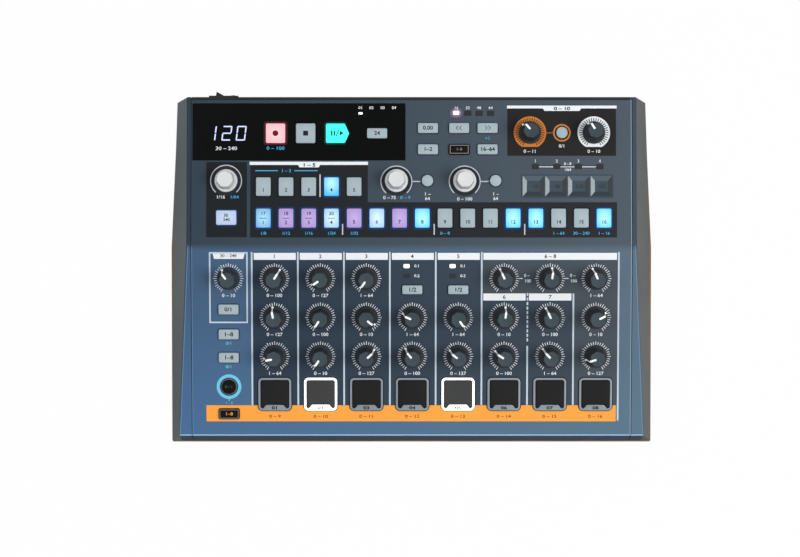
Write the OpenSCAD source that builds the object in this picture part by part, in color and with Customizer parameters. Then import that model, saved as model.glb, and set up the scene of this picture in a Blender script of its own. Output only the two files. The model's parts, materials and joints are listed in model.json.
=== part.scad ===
/* [Body] */
// Width across the widest point, at the fold
body_w = 320.6; // [317:0.2:336]
// How far each side draws in from the fold to the rear corner
rear_taper = 3.9; // [2.5:0.1:6]
// How far each side draws in from the fold to the front corner
front_taper = 1; // [0.4:0.1:2.4]
// Depth of the level rear plane, from the fold to the rear wall
rear_depth = 98.2; // [97:0.2:112]
// Length of the front plane along its slope
front_len = 125.4; // [122:0.2:136]
// Fall of the front plane below level
front_angle = 7; // [5:0.5:9]
// Lean of the front face from upright
face_lean = 13; // [8:1:18]
// Height of the rear plane above the table
panel_h = 42.5; // [42:0.5:52]
// Radius of the soft fold between the planes
fold_r = 50; // [20:1:80]
// Radius of the bend along the front edge
front_bend_r = 1.6; // [1.4:0.1:2.4]

/* [Sheet metal] */
// Thickness of the top panel
sheet_t = 1.2; // [1:0.1:1.5]
// Gap along the seams beside the panel
seam_gap = 0.4; // [0.2:0.1:0.8]
// Thickness of the base pan
pan_t = 1.2; // [1:0.1:2]
// Height of the base pan's rim above its underside
pan_rim_h = 4.6; // [3.6:0.2:6]
// How far the rim stands out past the cheeks
pan_proud = 0.7; // [0.3:0.1:1.2]
// Thickness of the rear plate
rear_t = 1.6; // [1.2:0.1:2]
// Width of the rear plate's top lip that shows behind the panel
rear_lip = 1.8; // [1.5:0.1:3]

/* [Cheeks] */
// Inset of a cheek's top edge from the widest point
cheek_inset = 12.9; // [11.4:0.1:14.4]
// Lean of a cheek's outer face from upright
cheek_lean = 21; // [16:1:24]
// Width of the painted strip between seam and cheek at the rear
strip_w = 2.5; // [2:0.1:4]
// Thickness of the painted strip
strip_t = 2; // [1.6:0.1:2.6]
// Wall of the moulded cheeks
cheek_wall = 2.6; // [2:0.1:3.4]
// Depth of the chamfer across a rear corner
corner_cut = 1.2; // [0.8:0.1:2]
// Size of the small chamfer on a front corner
front_cut = 0.8; // [0.4:0.1:1.6]
// Gap between the painted strip and the cheek under and beside it
strip_gap = 0.1; // [0.1:0.05:0.3]

/* [Feet and screws] */
// Height of the rubber feet
foot_h = 4.4; // [3:0.2:8]
// Diameter of the rubber feet
foot_d = 14; // [10:1:18]
// Inset of the feet from the front and rear walls
foot_inset = 20; // [14:1:30]
// Clearance between a foot and the screw boss beside it
foot_clear = 6.4; // [4:0.2:10]
// Diameter of a screw head
screw_head_d = 5.4; // [4.6:0.2:6]
// Diameter of a screw shank
screw_d = 2.9; // [2.5:0.1:3.4]

/* [Dial layout] */
// Number of voice columns after the first
col_steps = 8; // [8:1:8]
// Margin from the left seam to the first column
left_margin = 24.4; // [23:0.1:25]
// Margin from the last column to the right seam
right_margin = 23.48; // [22:0.02:26]
// Distance between the dial rows
row_pitch = 25.8; // [25:0.1:26.5]
// Distance from the fold to the first dial row
first_row = 21.4; // [20:0.1:22]
// Distance from the last dial row to the pad centres
pad_drop = 25; // [23.5:0.1:27]
// Place of the output dials, as a share of the rear plane's depth from the fold
output_share = 0.7607; // [0.745:0.0001:0.775]

/* [Key layout] */
// Margin from the left seam to the first step key
step_left = 47.45; // [46:0.05:49]
// Margin from the last step key to the right seam
step_right = 18.55; // [17:0.05:21]
// Place of the step keys, as a share of the rear plane's depth from the fold
step_share = 0.1864; // [0.18:0.0001:0.193]
// Place of the mode keys, as such a share
mode_share = 0.3971; // [0.388:0.0001:0.406]
// Place of the encoders, as such a share
encoder_share = 0.4379; // [0.434:0.0001:0.448]
// Place of the large transport keys, as such a share
transport_share = 0.7556; // [0.75:0.0001:0.763]
// Places of the two rows of edit keys, as such shares
edit_shares = [0.7907, 0.6477];

/* [Knobs] */
// Height of a dial knob's top above the panel
knob_top = 16.5; // [13:0.5:20]
// Diameter of a dial knob's round skirt
skirt_d = 14.2; // [13:0.2:15]
// Thickness of the skirt at its rim
skirt_t = 1.6; // [1:0.1:2.4]
// Number of flats round a knob
knob_sides = 7; // [6:1:9]
// Diameter across the corners of the flats at the skirt
grip_base_d = 13; // [12:0.1:13.2]
// Diameter across the corners of the flats at the top
grip_top_d = 11; // [9.5:0.1:11.8]
// Diameter of an encoder knob's skirt
encoder_skirt_d = 15.2; // [14:0.2:16]
// Height of an encoder knob's top above the panel
encoder_top = 15; // [12:0.5:18]
// Air gap under a knob
knob_gap = 0.6; // [0.4:0.1:1.2]
// Diameter of the shafts
shaft_d = 6; // [5:0.5:6]
// Radial clearance between shaft and knob
shaft_fit = 0.05; // [0.02:0.01:0.1]
// Width of the pointer groove
pointer_w = 1.3; // [0.8:0.1:1.6]
// Depth of the pointer groove
pointer_t = 0.4; // [0.2:0.1:0.8]

/* [Keys] */
// Width of a step key
step_key_w = 10; // [9:0.1:10.6]
// Depth of a step key
step_key_d = 12.9; // [11:0.1:13.4]
// Depth of a mode key
mode_key_d = 12.6; // [11:0.1:13]
// Width of a small oblong key
bar_key_w = 13.2; // [12:0.1:13.6]
// Depth of a small oblong key
bar_key_d = 6.6; // [6:0.1:7]
// Depth of a voice type key
type_key_d = 5.8; // [5.2:0.1:6.6]
// Width and depth of a large transport key
big_key = 13.4; // [12:0.1:14]
// Depth of the tap key
tap_key_d = 9.5; // [8:0.1:10]
// Diameter of a small round key
round_key_d = 7.7; // [6.5:0.1:8.2]
// Diameter of the shift key
shift_key_d = 9.6; // [8:0.1:10]
// Height of the key tops above the panel
key_proud = 1.5; // [1.3:0.1:2.4]
// Travel of a key
key_travel = 0.8; // [0.4:0.1:0.9]
// Clearance round a key in its hole
key_gap = 0.35; // [0.3:0.05:0.5]
// Radius of a key's corners
key_r = 0.9; // [0.6:0.1:1.2]
// Bevel round a key's top
key_bevel = 0.35; // [0.2:0.05:0.5]

/* [Pads] */
// Outer size of a pad's frame
pad_frame_w = 22.2; // [21:0.1:22.8]
// Width of a pad's frame
pad_rim = 1.3; // [1:0.1:1.6]
// Height of a pad's frame above the panel
pad_frame_h = 1.2; // [0.8:0.1:1.8]
// Corner radius of a pad's frame
pad_r = 3; // [2.5:0.1:3.5]
// Width of the tab on a pad's frame, at its foot
pad_tab_w = 14; // [10:0.5:15]
// Depth of the tab on a pad's frame
pad_tab_d = 3.3; // [2.4:0.1:4]
// Height of a pad's top above the panel
pad_proud = 2.2; // [1.8:0.1:3]
// Clearance between pad and frame
pad_gap = 0.4; // [0.3:0.05:0.6]
// Travel of a pad
pad_travel = 1; // [0.6:0.1:1.2]

/* [Window and strip] */
// Gap between the black display window and the left seam
window_left = 0.8; // [0.4:0.1:1.4]
// Gap between the window and the rear wall
window_rear = 4.2; // [3.8:0.1:5]
// Right end of the window, as a share of the half width left of the middle
window_end = 0.0283; // [0.02:0.0001:0.04]
// Front edge of the window, as a share of the rear plane's depth from the fold
window_front = 0.5743; // [0.57:0.0001:0.58]
// Thickness of the window above the panel
window_t = 0.5; // [0.3:0.1:0.8]
// Width of the touch strip
strip_len = 59.7; // [56:0.1:61]
// Depth of the touch strip
strip_d = 14.5; // [13:0.1:15]
// Number of cells in the touch strip
strip_cells = 4; // [2:1:6]
// Depth of the bevelled cells below the strip's face
cell_depth = 0.7; // [0.4:0.1:0.9]
// Width of a lamp lens
lamp_w = 4.3; // [3.6:0.1:4.6]
// Depth of a lamp lens
lamp_d = 2.9; // [2.2:0.1:3.2]

/* [Sockets] */
// Radius of the hole in a 6.35 mm socket
big_jack_r = 3.25; // [3.2:0.05:3.4]
// Radius of the hole in a 3.5 mm socket
small_jack_r = 1.8; // [1.77:0.01:1.9]
// Depth of a 6.35 mm socket's hole
big_jack_len = 30; // [28:1:32]
// Depth of a 3.5 mm socket's hole
small_jack_len = 14; // [13:1:16]
// How far the socket rings stand out of the rear plate
socket_proud = 1; // [0.6:0.1:1.3]
// How far the power rocker's raised end stands out of the rear plate
rocker_proud = 4.8; // [3.6:0.1:6]
// Tilt of the power rocker to either side
rocker_tilt = 11; // [8:1:13]
// Height of the socket centres above the socket board
socket_rise = 8.9; // [8.6:0.1:9]

/* [Hidden] */
$fn = 48;
cut = 0.01;
far = 400;

// Places that the body sizes give
pan_z = foot_h;
rim_z = pan_z + pan_rim_h;
face_drop = panel_h - front_len * sin(front_angle) - rim_z - seam_gap;
front_reach = front_len * cos(front_angle) + face_drop * tan(face_lean);
fold_y = (front_reach + pan_proud - rear_depth - rocker_proud) / 2;
front_edge = fold_y - front_reach;
cheek_top_x = body_w / 2 - cheek_inset;
seam_x = cheek_top_x - strip_w;
strip_x = seam_x + seam_gap;
web_t = 2;
ledge_w = 4;
lip_reach = 3;
panel_end = rear_depth - rear_lip - seam_gap / 2;
rear_wall_y = fold_y + rear_depth;
rear_w = body_w - 2 * rear_taper;
front_w = body_w - 2 * front_taper;

// A place across the panel, from a share of its half width; a distance behind or before the fold, from a
// share of that plane
function across(share) = share * seam_x;
function behind(share) = share * rear_depth;
function before(share) = share * front_len;

first_col = left_margin - seam_x;
col_pitch = (2 * seam_x - left_margin - right_margin) / col_steps;
pad_row = first_row + 2 * row_pitch + pad_drop;
first_step = step_left - seam_x;
step_pitch = (2 * seam_x - step_left - step_right) / 15;
step_row = behind(step_share);
mode_row = behind(mode_share);
encoder_row = behind(encoder_share);
output_row = behind(output_share);
transport_row = behind(transport_share);

// Boards, switches and dial bodies behind the panel
board_depth = 11;
board_t = 1.6;
board_margin = 4;
board_front = 8;
board_side = seam_x - ledge_w;
socket_board_depth = 40;
socket_clear = 0.9;
data_body = [18, 16, 17.4];
socket_board_z = panel_h - board_depth - board_t - socket_clear - data_body[2];
pillar_h = socket_board_z - board_t - pan_t - pan_z;
pillar_inset = 36.5;
socket_h = socket_board_z + socket_rise;
switch_h = 3.4;
switch_w = 4.6;
sensor_inset = 3;
pot_h = 6.2;
pot_w = 9.6;
flange_t = 0.8;
flange_w = 0.8;
float_gap = 0.3;
stem_r = 1.5;
stem_foot = switch_h + float_gap + key_travel - board_depth;
shaft_hole_r = shaft_d / 2 + 0.8;
lamp_gap = 0.15;
lamp_proud = 0.25;
type_lamp_shift = 3.75;
stud_inset = 7;

// Every dial: name, column, row and the angle its pointer shows, clockwise from the rear
voice_dials = [
    ["metronome_knob", 0, 0, -36],
    ["kick_decay_knob", 1, 0, 33],
    ["kick_pitch_knob", 1, 1, -10],
    ["kick_level_knob", 1, 2, -100],
    ["snare1_decay_knob", 2, 0, -124],
    ["snare1_tone_knob", 2, 1, -147],
    ["snare1_level_knob", 2, 2, -146],
    ["snare2_decay_knob", 3, 0, -146],
    ["snare2_tone_knob", 3, 1, 129],
    ["snare2_level_knob", 3, 2, 48],
    ["tom_pitch_knob", 4, 1, -66],
    ["tom_level_knob", 4, 2, -40],
    ["cymbal_decay_knob", 5, 1, 145],
    ["cymbal_level_knob", 5, 2, -53],
    ["mod_pitch_knob", 6, 0, -25],
    ["hat_tone_knob", 6, 1, 7],
    ["closed_hat_level_knob", 6, 2, -58],
    ["mod_amount_knob", 7, 0, 9],
    ["open_hat_decay_knob", 7, 1, -25],
    ["open_hat_level_knob", 7, 2, -43],
    ["mod_decay_knob", 8, 0, -22],
    ["carrier_pitch_knob", 8, 1, 63],
    ["mod_level_knob", 8, 2, -108],
];
// Dials of the output section: name, place right of the middle and angle
output_dials = [["drive_knob", across(0.5376), -43], ["master_knob", across(0.8275), -33]];
// Encoders: name and place right of the middle
encoders = [["rate_encoder_knob", across(-0.842)], ["swing_encoder_knob", across(-0.069)],
    ["random_encoder_knob", across(0.2409)]];
pad_names = [for (n = [1:8]) str("pad_", n)];

// Keys of the rear plane: place, distance from the fold, width, depth
tap_key = [across(-0.8406), behind(0.1894), bar_key_w, tap_key_d];
sync_key = [across(-0.1567), transport_row, bar_key_w, bar_key_d];
edit_cols = [for (share = [0.0742, 0.216, 0.3447]) across(share)];
edit_rows = [for (share = edit_shares) behind(share)];
edit_keys = [for (x = edit_cols, y = edit_rows) [x, y, bar_key_w, bar_key_d]];
mode_keys = [for (n = [0:4]) [first_step + n * step_pitch, mode_row, step_key_w, mode_key_d]];
step_keys_at = [for (n = [0:15]) [first_step + n * step_pitch, step_row, step_key_w, step_key_d]];
rear_bars = concat([tap_key, sync_key], edit_keys, mode_keys);
// Round keys of the rear plane: place, distance from the fold, diameter
rear_rounds = [[across(0.0718), encoder_row, round_key_d], [across(0.381), encoder_row, round_key_d],
    [across(0.6825), output_row, round_key_d]];
record_at = [across(-0.6177), transport_row];
stop_at = [across(-0.481), transport_row];
play_at = [across(-0.3451), transport_row];
play_tip = 2.9;

// Keys of the front plane: place, distance from the fold
left_x = first_col;
front_bars = [
    for (share = [0.3333, 0.4649, 0.5877, 0.886]) [left_x, before(share), bar_key_w, bar_key_d],
    for (c = [4, 5]) [first_col + c * col_pitch, before(0.2297), bar_key_w, type_key_d],
];
shift_at = [left_x, before(0.7424)];

// Lamps: place, distance from the fold
source_lamps = [for (n = [0:3]) [across(-0.2319 + n * 0.0507), behind(0.891)]];
page_lamps = [for (n = [0:3]) [across(0.2032 + n * 0.0518), behind(0.891)]];
repeat_lamps = [for (n = [0:3]) [across(0.5618 + n * 0.0976), behind(0.5326)]];
type_lamps = [for (c = [4, 5], share = [0.1053, 0.1571])
    [first_col + c * col_pitch - type_lamp_shift, before(share)]];

// Window and strip places
window_w = seam_x * (1 - window_end) - window_left;
window_d = rear_depth * (1 - window_front) - window_rear;
window_x = window_left + window_w / 2 - seam_x;
window_u = rear_depth - window_rear - window_d / 2;
digits_at = [across(-0.8226), transport_row];
digits_size = [26, 14];
strip_at = [across(0.7067), behind(0.4012)];

// Studs that carry the boards, clear of every control
rear_studs = [for (x = [stud_inset - seam_x, 0, seam_x - stud_inset], share = [0.3055, 0.8961])
    [x, behind(share)]];
front_studs = [for (c = [0.5, 4.5, 8.5], r = [0.5, 2.45]) [first_col + c * col_pitch, first_row + r * row_pitch]];
stud_r = 1.8;

// Rear sockets: place right of the middle
big_jacks = [for (share = [0.7177, 0.8834]) across(share)];
small_jacks = [for (share = [-0.0414, 0.069, 0.2346, 0.3313, 0.4279, 0.5245]) across(share)];
data_sockets = [for (share = [-0.3865, -0.2208]) across(share)];
usb_x = across(-0.5383);
power_x = across(-0.6832);
lock_slot = [7, 3];
lock_x = seam_x - lock_slot[0] / 2 - 2.4;
lock_h = 33;
big_jack_body = [16, 31, 16];
small_jack_body = [11, 15, 13];
usb_nose = [12, 10.8];
power_body = [9.2, 12, 14];

// Power rocker
rocker_inset = 20.4;
rocker_x = rocker_inset - seam_x;
rocker_z = 27.5;
rocker_half = 6;
rocker_w = 9.2;
rocker_pin_in = 2.5;
rocker_bezel = [19.2, 14, 1.9];
rocker_body = [17, 11, 12];
rocker_gap = 0.4;
pivot_r = 1.2;
pivot_reach = 0.9;
pivot_gap = 0.1;
rocker_arm = (rocker_proud + rocker_pin_in - rocker_half * sin(rocker_tilt)) / cos(rocker_tilt);

// Case screws and cheek bosses
screw_head_h = 1;
screw_len = 5.6;
pillar_screw_len = board_t + pillar_h - 0.4;
screw_gap = 0.2;
thread_gap = 0.05;
boss_r = 2.8;
boss_x = strip_x + web_t + boss_r;
boss_inset = 14;
boss_ys = [front_edge + boss_inset, fold_y - before(0.4), fold_y + behind(0.2), rear_wall_y - boss_inset];
rib_t = 1.6;

// ---- placing ----

// A frame on the level rear plane: x, distance behind the fold, height above the panel
module on_rear(x, u, h = 0) translate([x, fold_y + u, panel_h + h]) children();

// A frame on the sloping front plane: x, distance before the fold, height above the panel
module on_front(x, s, h = 0)
    translate([0, fold_y, panel_h]) rotate([front_angle, 0, 0]) translate([x, -s, h]) children();

// ---- outlines ----

function unit(a) = [cos(a), sin(a)];

// Points of an arc in the plane of the side profile, from angle a to angle b
function arc(c, r, a, b, n) = [for (i = [0:n]) c + r * unit(a + (b - a) * i / n)];

// Centre of the arc that rounds the corner p between faces with normals at angles a and b
function round_centre(p, r, a, b) = p - r * (unit(a) + unit(b)) / (1 + cos(b - a));

fold_p = [fold_y, panel_h];
corner_p = fold_p - front_len * [cos(front_angle), sin(front_angle)];
foot_p = [front_edge, corner_p[1] - face_drop];
// Half the width to which the strips reach along the front bend
strip_end = cheek_top_x + (panel_h - corner_p[1]) * tan(cheek_lean);

// Side profile of the skin, d below its outer face, from the rear edge to the foot of the front face
function skin(d, end) = let (bend = max(front_bend_r, d + 0.05)) concat(
    [[fold_y + end, panel_h - d]],
    arc(round_centre(fold_p, fold_r, 90, 90 + front_angle), fold_r - d, 90, 90 + front_angle, 6),
    arc(round_centre(corner_p, bend, 90 + front_angle, 180 - face_lean),
        bend - d, 90 + front_angle, 180 - face_lean, 6),
    [foot_p + [d / cos(face_lean), 0]]);

function reversed(v) = [for (i = [len(v) - 1:-1:0]) v[i]];

// A folded sheet between x0 and x1, from depth d0 to depth d1 below the outer face
module folded_sheet(x0, x1, d0, d1, end)
    translate([x0, 0, 0]) rotate([90, 0, 90]) linear_extrude(x1 - x0)
        polygon(concat(skin(d0, end), reversed(skin(d1, end))));

// All that lies under the skin, d below its outer face
module under_skin(x0, x1, d, end)
    translate([x0, 0, 0]) rotate([90, 0, 90]) linear_extrude(x1 - x0)
        polygon(concat(skin(d, end), [[foot_p[0] + d, rim_z], [fold_y + end, rim_z]]));

// Plan of the body, grown by g
module plan(g = 0) polygon([
    [-front_w / 2 - g + front_cut, front_edge - g], [front_w / 2 + g - front_cut, front_edge - g],
    [front_w / 2 + g, front_edge - g + front_cut],
    [body_w / 2 + g, fold_y], [rear_w / 2 + g, rear_wall_y - corner_cut],
    [cheek_top_x, rear_wall_y + min(g, 0)], [-cheek_top_x, rear_wall_y + min(g, 0)],
    [-rear_w / 2 - g, rear_wall_y - corner_cut], [-body_w / 2 - g, fold_y],
    [-front_w / 2 - g, front_edge - g + front_cut]]);

// The space inside both leaning cheek faces, moved inwards by d
module between_cheeks(d = 0) {
    foot = (panel_h - pan_z) * tan(cheek_lean);
    translate([0, far / 2, 0]) rotate([90, 0, 0]) linear_extrude(far) polygon([
        [-cheek_top_x + d - foot, pan_z], [cheek_top_x - d + foot, pan_z],
        [cheek_top_x - d, panel_h], [-cheek_top_x + d, panel_h]]);
}

// A rectangle with round corners
module round_rect(w, d, r) {
    square([w - 2 * r, d], center = true);
    square([w, d - 2 * r], center = true);
    for (x = [-1, 1], y = [-1, 1])
        translate([x * (w / 2 - r), y * (d / 2 - r)]) circle(r, $fn = 24);
}

// Outline of the play key, pointed to the right
module play_shape(g = 0) {
    w = big_key / 2 + g;
    square_end = big_key / 2 - 0.7 + g;
    polygon([[-w, -w], [square_end, -w], [square_end + play_tip, 0], [square_end, w], [-w, w]]);
}

// The room inside a pad's frame, g smaller all round
module pad_square(g) {
    inner = pad_frame_w - 2 * pad_rim - 2 * g;
    round_rect(inner, inner, pad_r - pad_rim);
}

// The same with the notch that goes round the frame's tab
module pad_shape(g) difference() {
    pad_square(g);
    translate([0, -pad_frame_w / 2]) pad_tab(g);
}

// The tab at the foot of a pad's frame
module pad_tab(g = 0) polygon([
    [-pad_tab_w / 2 - g, -1], [pad_tab_w / 2 + g, -1],
    [pad_tab_w / 2 + g, pad_rim], [pad_tab_w / 2 - 1.6 + g, pad_tab_d + g],
    [-pad_tab_w / 2 + 1.6 - g, pad_tab_d + g], [-pad_tab_w / 2 - g, pad_rim]]);

// ---- top panel ----

module key_hole() translate([0, 0, -sheet_t - 1]) linear_extrude(sheet_t + window_t + 2) children();

module rear_holes() {
    for (k = concat(rear_bars, step_keys_at)) on_rear(k[0], k[1]) key_hole()
        round_rect(k[2] + 2 * key_gap, k[3] + 2 * key_gap, key_r + key_gap);
    for (k = rear_rounds) on_rear(k[0], k[1]) key_hole() circle(k[2] / 2 + key_gap);
    for (p = [record_at, stop_at]) on_rear(p[0], p[1]) key_hole()
        round_rect(big_key + 2 * key_gap, big_key + 2 * key_gap, key_r + key_gap);
    on_rear(play_at[0], play_at[1]) key_hole() play_shape(key_gap);
}

module rear_panel_holes() {
    rear_holes();
    for (e = encoders) on_rear(e[1], encoder_row) key_hole() circle(shaft_hole_r);
    for (d = output_dials) on_rear(d[1], output_row) key_hole() circle(shaft_hole_r);
    for (p = concat(source_lamps, page_lamps, repeat_lamps)) on_rear(p[0], p[1]) key_hole()
        square([lamp_w + 2 * lamp_gap, lamp_d + 2 * lamp_gap], center = true);
    on_rear(digits_at[0], digits_at[1]) key_hole() square(digits_size, center = true);
    on_rear(strip_at[0], strip_at[1]) key_hole()
        square([strip_len + 2 * lamp_gap, strip_d + 2 * lamp_gap], center = true);
}

module front_panel_holes() {
    for (k = front_bars) on_front(k[0], k[1]) key_hole()
        round_rect(k[2] + 2 * key_gap, k[3] + 2 * key_gap, key_r + key_gap);
    on_front(shift_at[0], shift_at[1]) key_hole() circle(shift_key_d / 2 + key_gap);
    for (d = voice_dials) on_front(dial_x(d), dial_s(d)) key_hole() circle(shaft_hole_r);
    for (n = [0:7]) on_front(pad_x(n), pad_row) key_hole() pad_shape(0);
    for (p = type_lamps) on_front(p[0], p[1]) key_hole()
        square([lamp_w + 2 * lamp_gap, lamp_d + 2 * lamp_gap], center = true);
}

function dial_x(d) = first_col + d[1] * col_pitch;
function dial_s(d) = first_row + d[2] * row_pitch;
function pad_x(n) = first_col + (n + 1) * col_pitch;

module studs() {
    reach = board_depth - sheet_t;
    for (p = rear_studs) on_rear(p[0], p[1], -board_depth) cylinder(h = reach + cut, r = stud_r);
    for (p = front_studs) on_front(p[0], p[1], -board_depth) cylinder(h = reach + cut, r = stud_r);
}

module top_panel() color("#43607a") {
    difference() {
        folded_sheet(-seam_x, seam_x, 0, sheet_t, panel_end);
        rear_panel_holes();
        front_panel_holes();
    }
    studs();
}

// ---- case ----

foot_x = boss_x - boss_r - foot_clear - foot_d / 2;
foot_places = [for (x = [-foot_x, foot_x], y = [front_edge + foot_inset, rear_wall_y - foot_inset]) [x, y]];
pillar_places = [for (share = [-0.773, 0.1242, 0.8006]) [across(share), rear_wall_y - pillar_inset]];
boss_places = [for (x = [-boss_x, boss_x], y = boss_ys) [x, y]];

module base_pan() color("#5d4f46") difference() {
    union() {
        difference() {
            translate([0, 0, pan_z]) linear_extrude(pan_rim_h) plan(pan_proud);
            translate([0, 0, pan_z + pan_t]) linear_extrude(pan_rim_h) plan(-pan_t);
        }
        for (p = pillar_places) translate([p[0], p[1], pan_z]) cylinder(h = pan_t + pillar_h, r = boss_r);
    }
    for (p = boss_places) translate([p[0], p[1], pan_z - 1]) cylinder(h = pan_t + 2, r = screw_d / 2 + screw_gap);
    for (p = pillar_places) translate([p[0], p[1], pan_z + pan_t]) cylinder(h = far, r = screw_d / 2 + thread_gap);
}

module rear_plate() color("#2b3036") difference() {
    union() {
        translate([-seam_x, rear_wall_y - rear_t, rim_z])
            cube([2 * seam_x, rear_t, panel_h - rim_z]);
        translate([-seam_x, rear_wall_y - rear_lip, panel_h - sheet_t])
            cube([2 * seam_x, rear_lip, sheet_t]);
        translate([-seam_x, rear_wall_y - rear_lip - lip_reach, panel_h - 2 * sheet_t])
            cube([2 * seam_x, rear_lip + lip_reach, sheet_t]);
    }
    for (x = big_jacks) rear_hole(x, socket_h) circle(r = big_ring_r + 0.2);
    for (x = small_jacks) rear_hole(x, socket_h) circle(r = small_ring_r + 0.2);
    for (x = data_sockets) rear_hole(x, socket_h) circle(r = data_ring_r + 0.2);
    rear_hole(usb_x, socket_h) square(usb_nose + [0.4, 0.4], center = true);
    rear_hole(power_x, socket_h) circle(r = power_ring_r + 0.2);
    rear_hole(lock_x, lock_h) round_rect(lock_slot[0], lock_slot[1], 1.2);
    rear_hole(rocker_x, rocker_z)
        square([rocker_body[0] + 0.4, rocker_body[2] + 0.4], center = true);
}

// A hole through the rear plate, its centre at height z
module rear_hole(x, z) translate([x, rear_wall_y + 1, z]) rotate([90, 0, 0])
    linear_extrude(rear_t + 2) children();

// The space of both cheeks, t inside their outer walls
module cheek_space(t = 0) intersection() {
    translate([0, 0, rim_z + t]) linear_extrude(panel_h) plan(-t);
    between_cheeks(t / cos(cheek_lean));
    under_skin(-body_w, body_w, strip_t + strip_gap + t, rear_depth);
}

module half(side, x) translate([side > 0 ? x : -far, -far / 2, 0]) cube([far - x, far, far]);

// The cheek's front corner, flush with the front face past the end of the strip
module cheek_corner(side) intersection() {
    between_cheeks();
    translate([0, 0, rim_z]) linear_extrude(panel_h) plan();
    folded_sheet(side > 0 ? strip_end + strip_gap : -far, side > 0 ? far : -strip_end - strip_gap,
        0, strip_t + strip_gap + cheek_wall / 2, rear_depth);
}

// A moulded cheek: an open shell with ribs inside and bosses for the case screws
module cheek(side) color("#61686b") difference() {
    union() {
        intersection() {
            difference() {
                cheek_space();
                cheek_space(cheek_wall);
            }
            half(side, strip_x + web_t);
        }
        intersection() {
            cheek_space();
            half(side, strip_x + web_t);
            for (y = boss_ys) translate([-far / 2, y - rib_t / 2, 0]) cube([far, rib_t, far]);
        }
        cheek_corner(side);
        for (y = boss_ys) translate([side * boss_x, y, pan_z + pan_t]) cylinder(h = 10, r = boss_r);
    }
    for (y = boss_ys) translate([side * boss_x, y, 0])
        cylinder(h = pan_z + screw_len + 1, r = screw_d / 2 + thread_gap);
}

// A painted side strip with a web down to the pan and a ledge that carries the panel
module side_strip(side) {
    ledge_end = rear_depth - rear_lip - lip_reach - 0.2;
    intersection() {
        between_cheeks();
        translate([0, 0, rim_z]) linear_extrude(panel_h) plan();
        union() {
            folded_sheet(side > 0 ? strip_x : -strip_end, side > 0 ? strip_end : -strip_x, 0, strip_t, rear_depth);
            under_skin(side > 0 ? strip_x : -strip_x - web_t, side > 0 ? strip_x + web_t : -strip_x,
                strip_t - cut, rear_depth);
        }
    }
    folded_sheet(side > 0 ? strip_x - ledge_w : -strip_x - cut, side > 0 ? strip_x + cut : ledge_w - strip_x,
        sheet_t, 2 * sheet_t, ledge_end);
}

module side_strips() color("#3f5a73") for (side = [-1, 1]) side_strip(side);

// ---- window, display, strip, lamps ----

module display_window() color("#101112") difference() {
    on_rear(window_x, window_u) linear_extrude(window_t) round_rect(window_w, window_d, 0.6);
    rear_holes();
}

module digit_display() color("#1b1d22")
    on_rear(digits_at[0], digits_at[1], -board_depth)
        linear_extrude(board_depth) square(digits_size - [0.6, 0.6], center = true);

module touch_strip() color("#3c4b55") {
    cell_w = strip_len / strip_cells;
    difference() {
        union() {
            on_rear(strip_at[0], strip_at[1], -sheet_t)
                linear_extrude(sheet_t + window_t) square([strip_len, strip_d], center = true);
            on_rear(strip_at[0], strip_at[1], -sheet_t - 1)
                linear_extrude(1) square([strip_len + 3, strip_d + 3], center = true);
        }
        for (n = [0:strip_cells - 1])
            on_rear(strip_at[0] - strip_len / 2 + (n + 0.5) * cell_w, strip_at[1], window_t)
                bevelled_pit(cell_w - 0.8, strip_d - 0.8, cell_depth);
    }
}

// A pit with sloping sides, cut down from the face
module bevelled_pit(w, d, depth) hull() {
    translate([0, 0, cut]) linear_extrude(cut) square([w, d], center = true);
    translate([0, 0, -depth]) linear_extrude(cut) square([w - 5.6, d - 6.6], center = true);
}

module lamp() {
    linear_extrude(sheet_t + lamp_proud) square([lamp_w, lamp_d], center = true);
    translate([0, 0, -1]) linear_extrude(1) square([lamp_w + 1.6, lamp_d + 1.6], center = true);
}

module lamp_lenses() color("#d9dde0") {
    for (p = concat(page_lamps, repeat_lamps)) on_rear(p[0], p[1], -sheet_t) lamp();
    for (p = source_lamps) on_rear(p[0], p[1], -sheet_t - lamp_proud) lamp();
    for (p = type_lamps) on_front(p[0], p[1], -sheet_t) lamp();
}

// ---- pads ----

module pad_frame() linear_extrude(pad_frame_h) {
    difference() {
        round_rect(pad_frame_w, pad_frame_w, pad_r);
        round_rect(pad_frame_w - 2 * pad_rim, pad_frame_w - 2 * pad_rim, pad_r - pad_rim);
    }
    translate([0, -pad_frame_w / 2]) intersection() {
        pad_tab();
        translate([-pad_tab_w, 0]) square([2 * pad_tab_w, pad_tab_d + 1]);
    }
}

module pad_frames() color("#aab2b4")
    for (n = [0:7]) on_front(pad_x(n), pad_row) pad_frame();

module pad() {
    drop = sheet_t + float_gap;
    bevel = 0.6;
    difference() {
        union() {
            translate([0, 0, -drop]) linear_extrude(drop + pad_proud - bevel) pad_square(pad_gap);
            hull() {
                translate([0, 0, pad_proud - bevel]) linear_extrude(cut) pad_square(pad_gap);
                translate([0, 0, pad_proud - cut]) linear_extrude(cut) pad_square(pad_gap + bevel);
            }
        }
        translate([0, -pad_frame_w / 2, -drop - 1]) linear_extrude(pad_proud + drop + 2) pad_tab(pad_gap);
    }
    translate([0, 0, -drop - 1.6]) linear_extrude(1.6)
        square(pad_frame_w, center = true);
}

module pad_node(n) color("#262626") on_front(pad_x(n), pad_row) pad();

// ---- keys ----

// What every key has below its cap: a flange under the panel, of the children's outline, and a stem
module key_foot() {
    drop = sheet_t + float_gap + flange_t;
    translate([0, 0, -drop]) linear_extrude(flange_t) children();
    translate([0, 0, stem_foot]) cylinder(h = cut - drop - stem_foot, r = stem_r);
}

// The body of a key through its hole, of the children's outline
module key_cap() translate([0, 0, -sheet_t - float_gap])
    linear_extrude(sheet_t + float_gap + key_proud) children();

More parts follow.
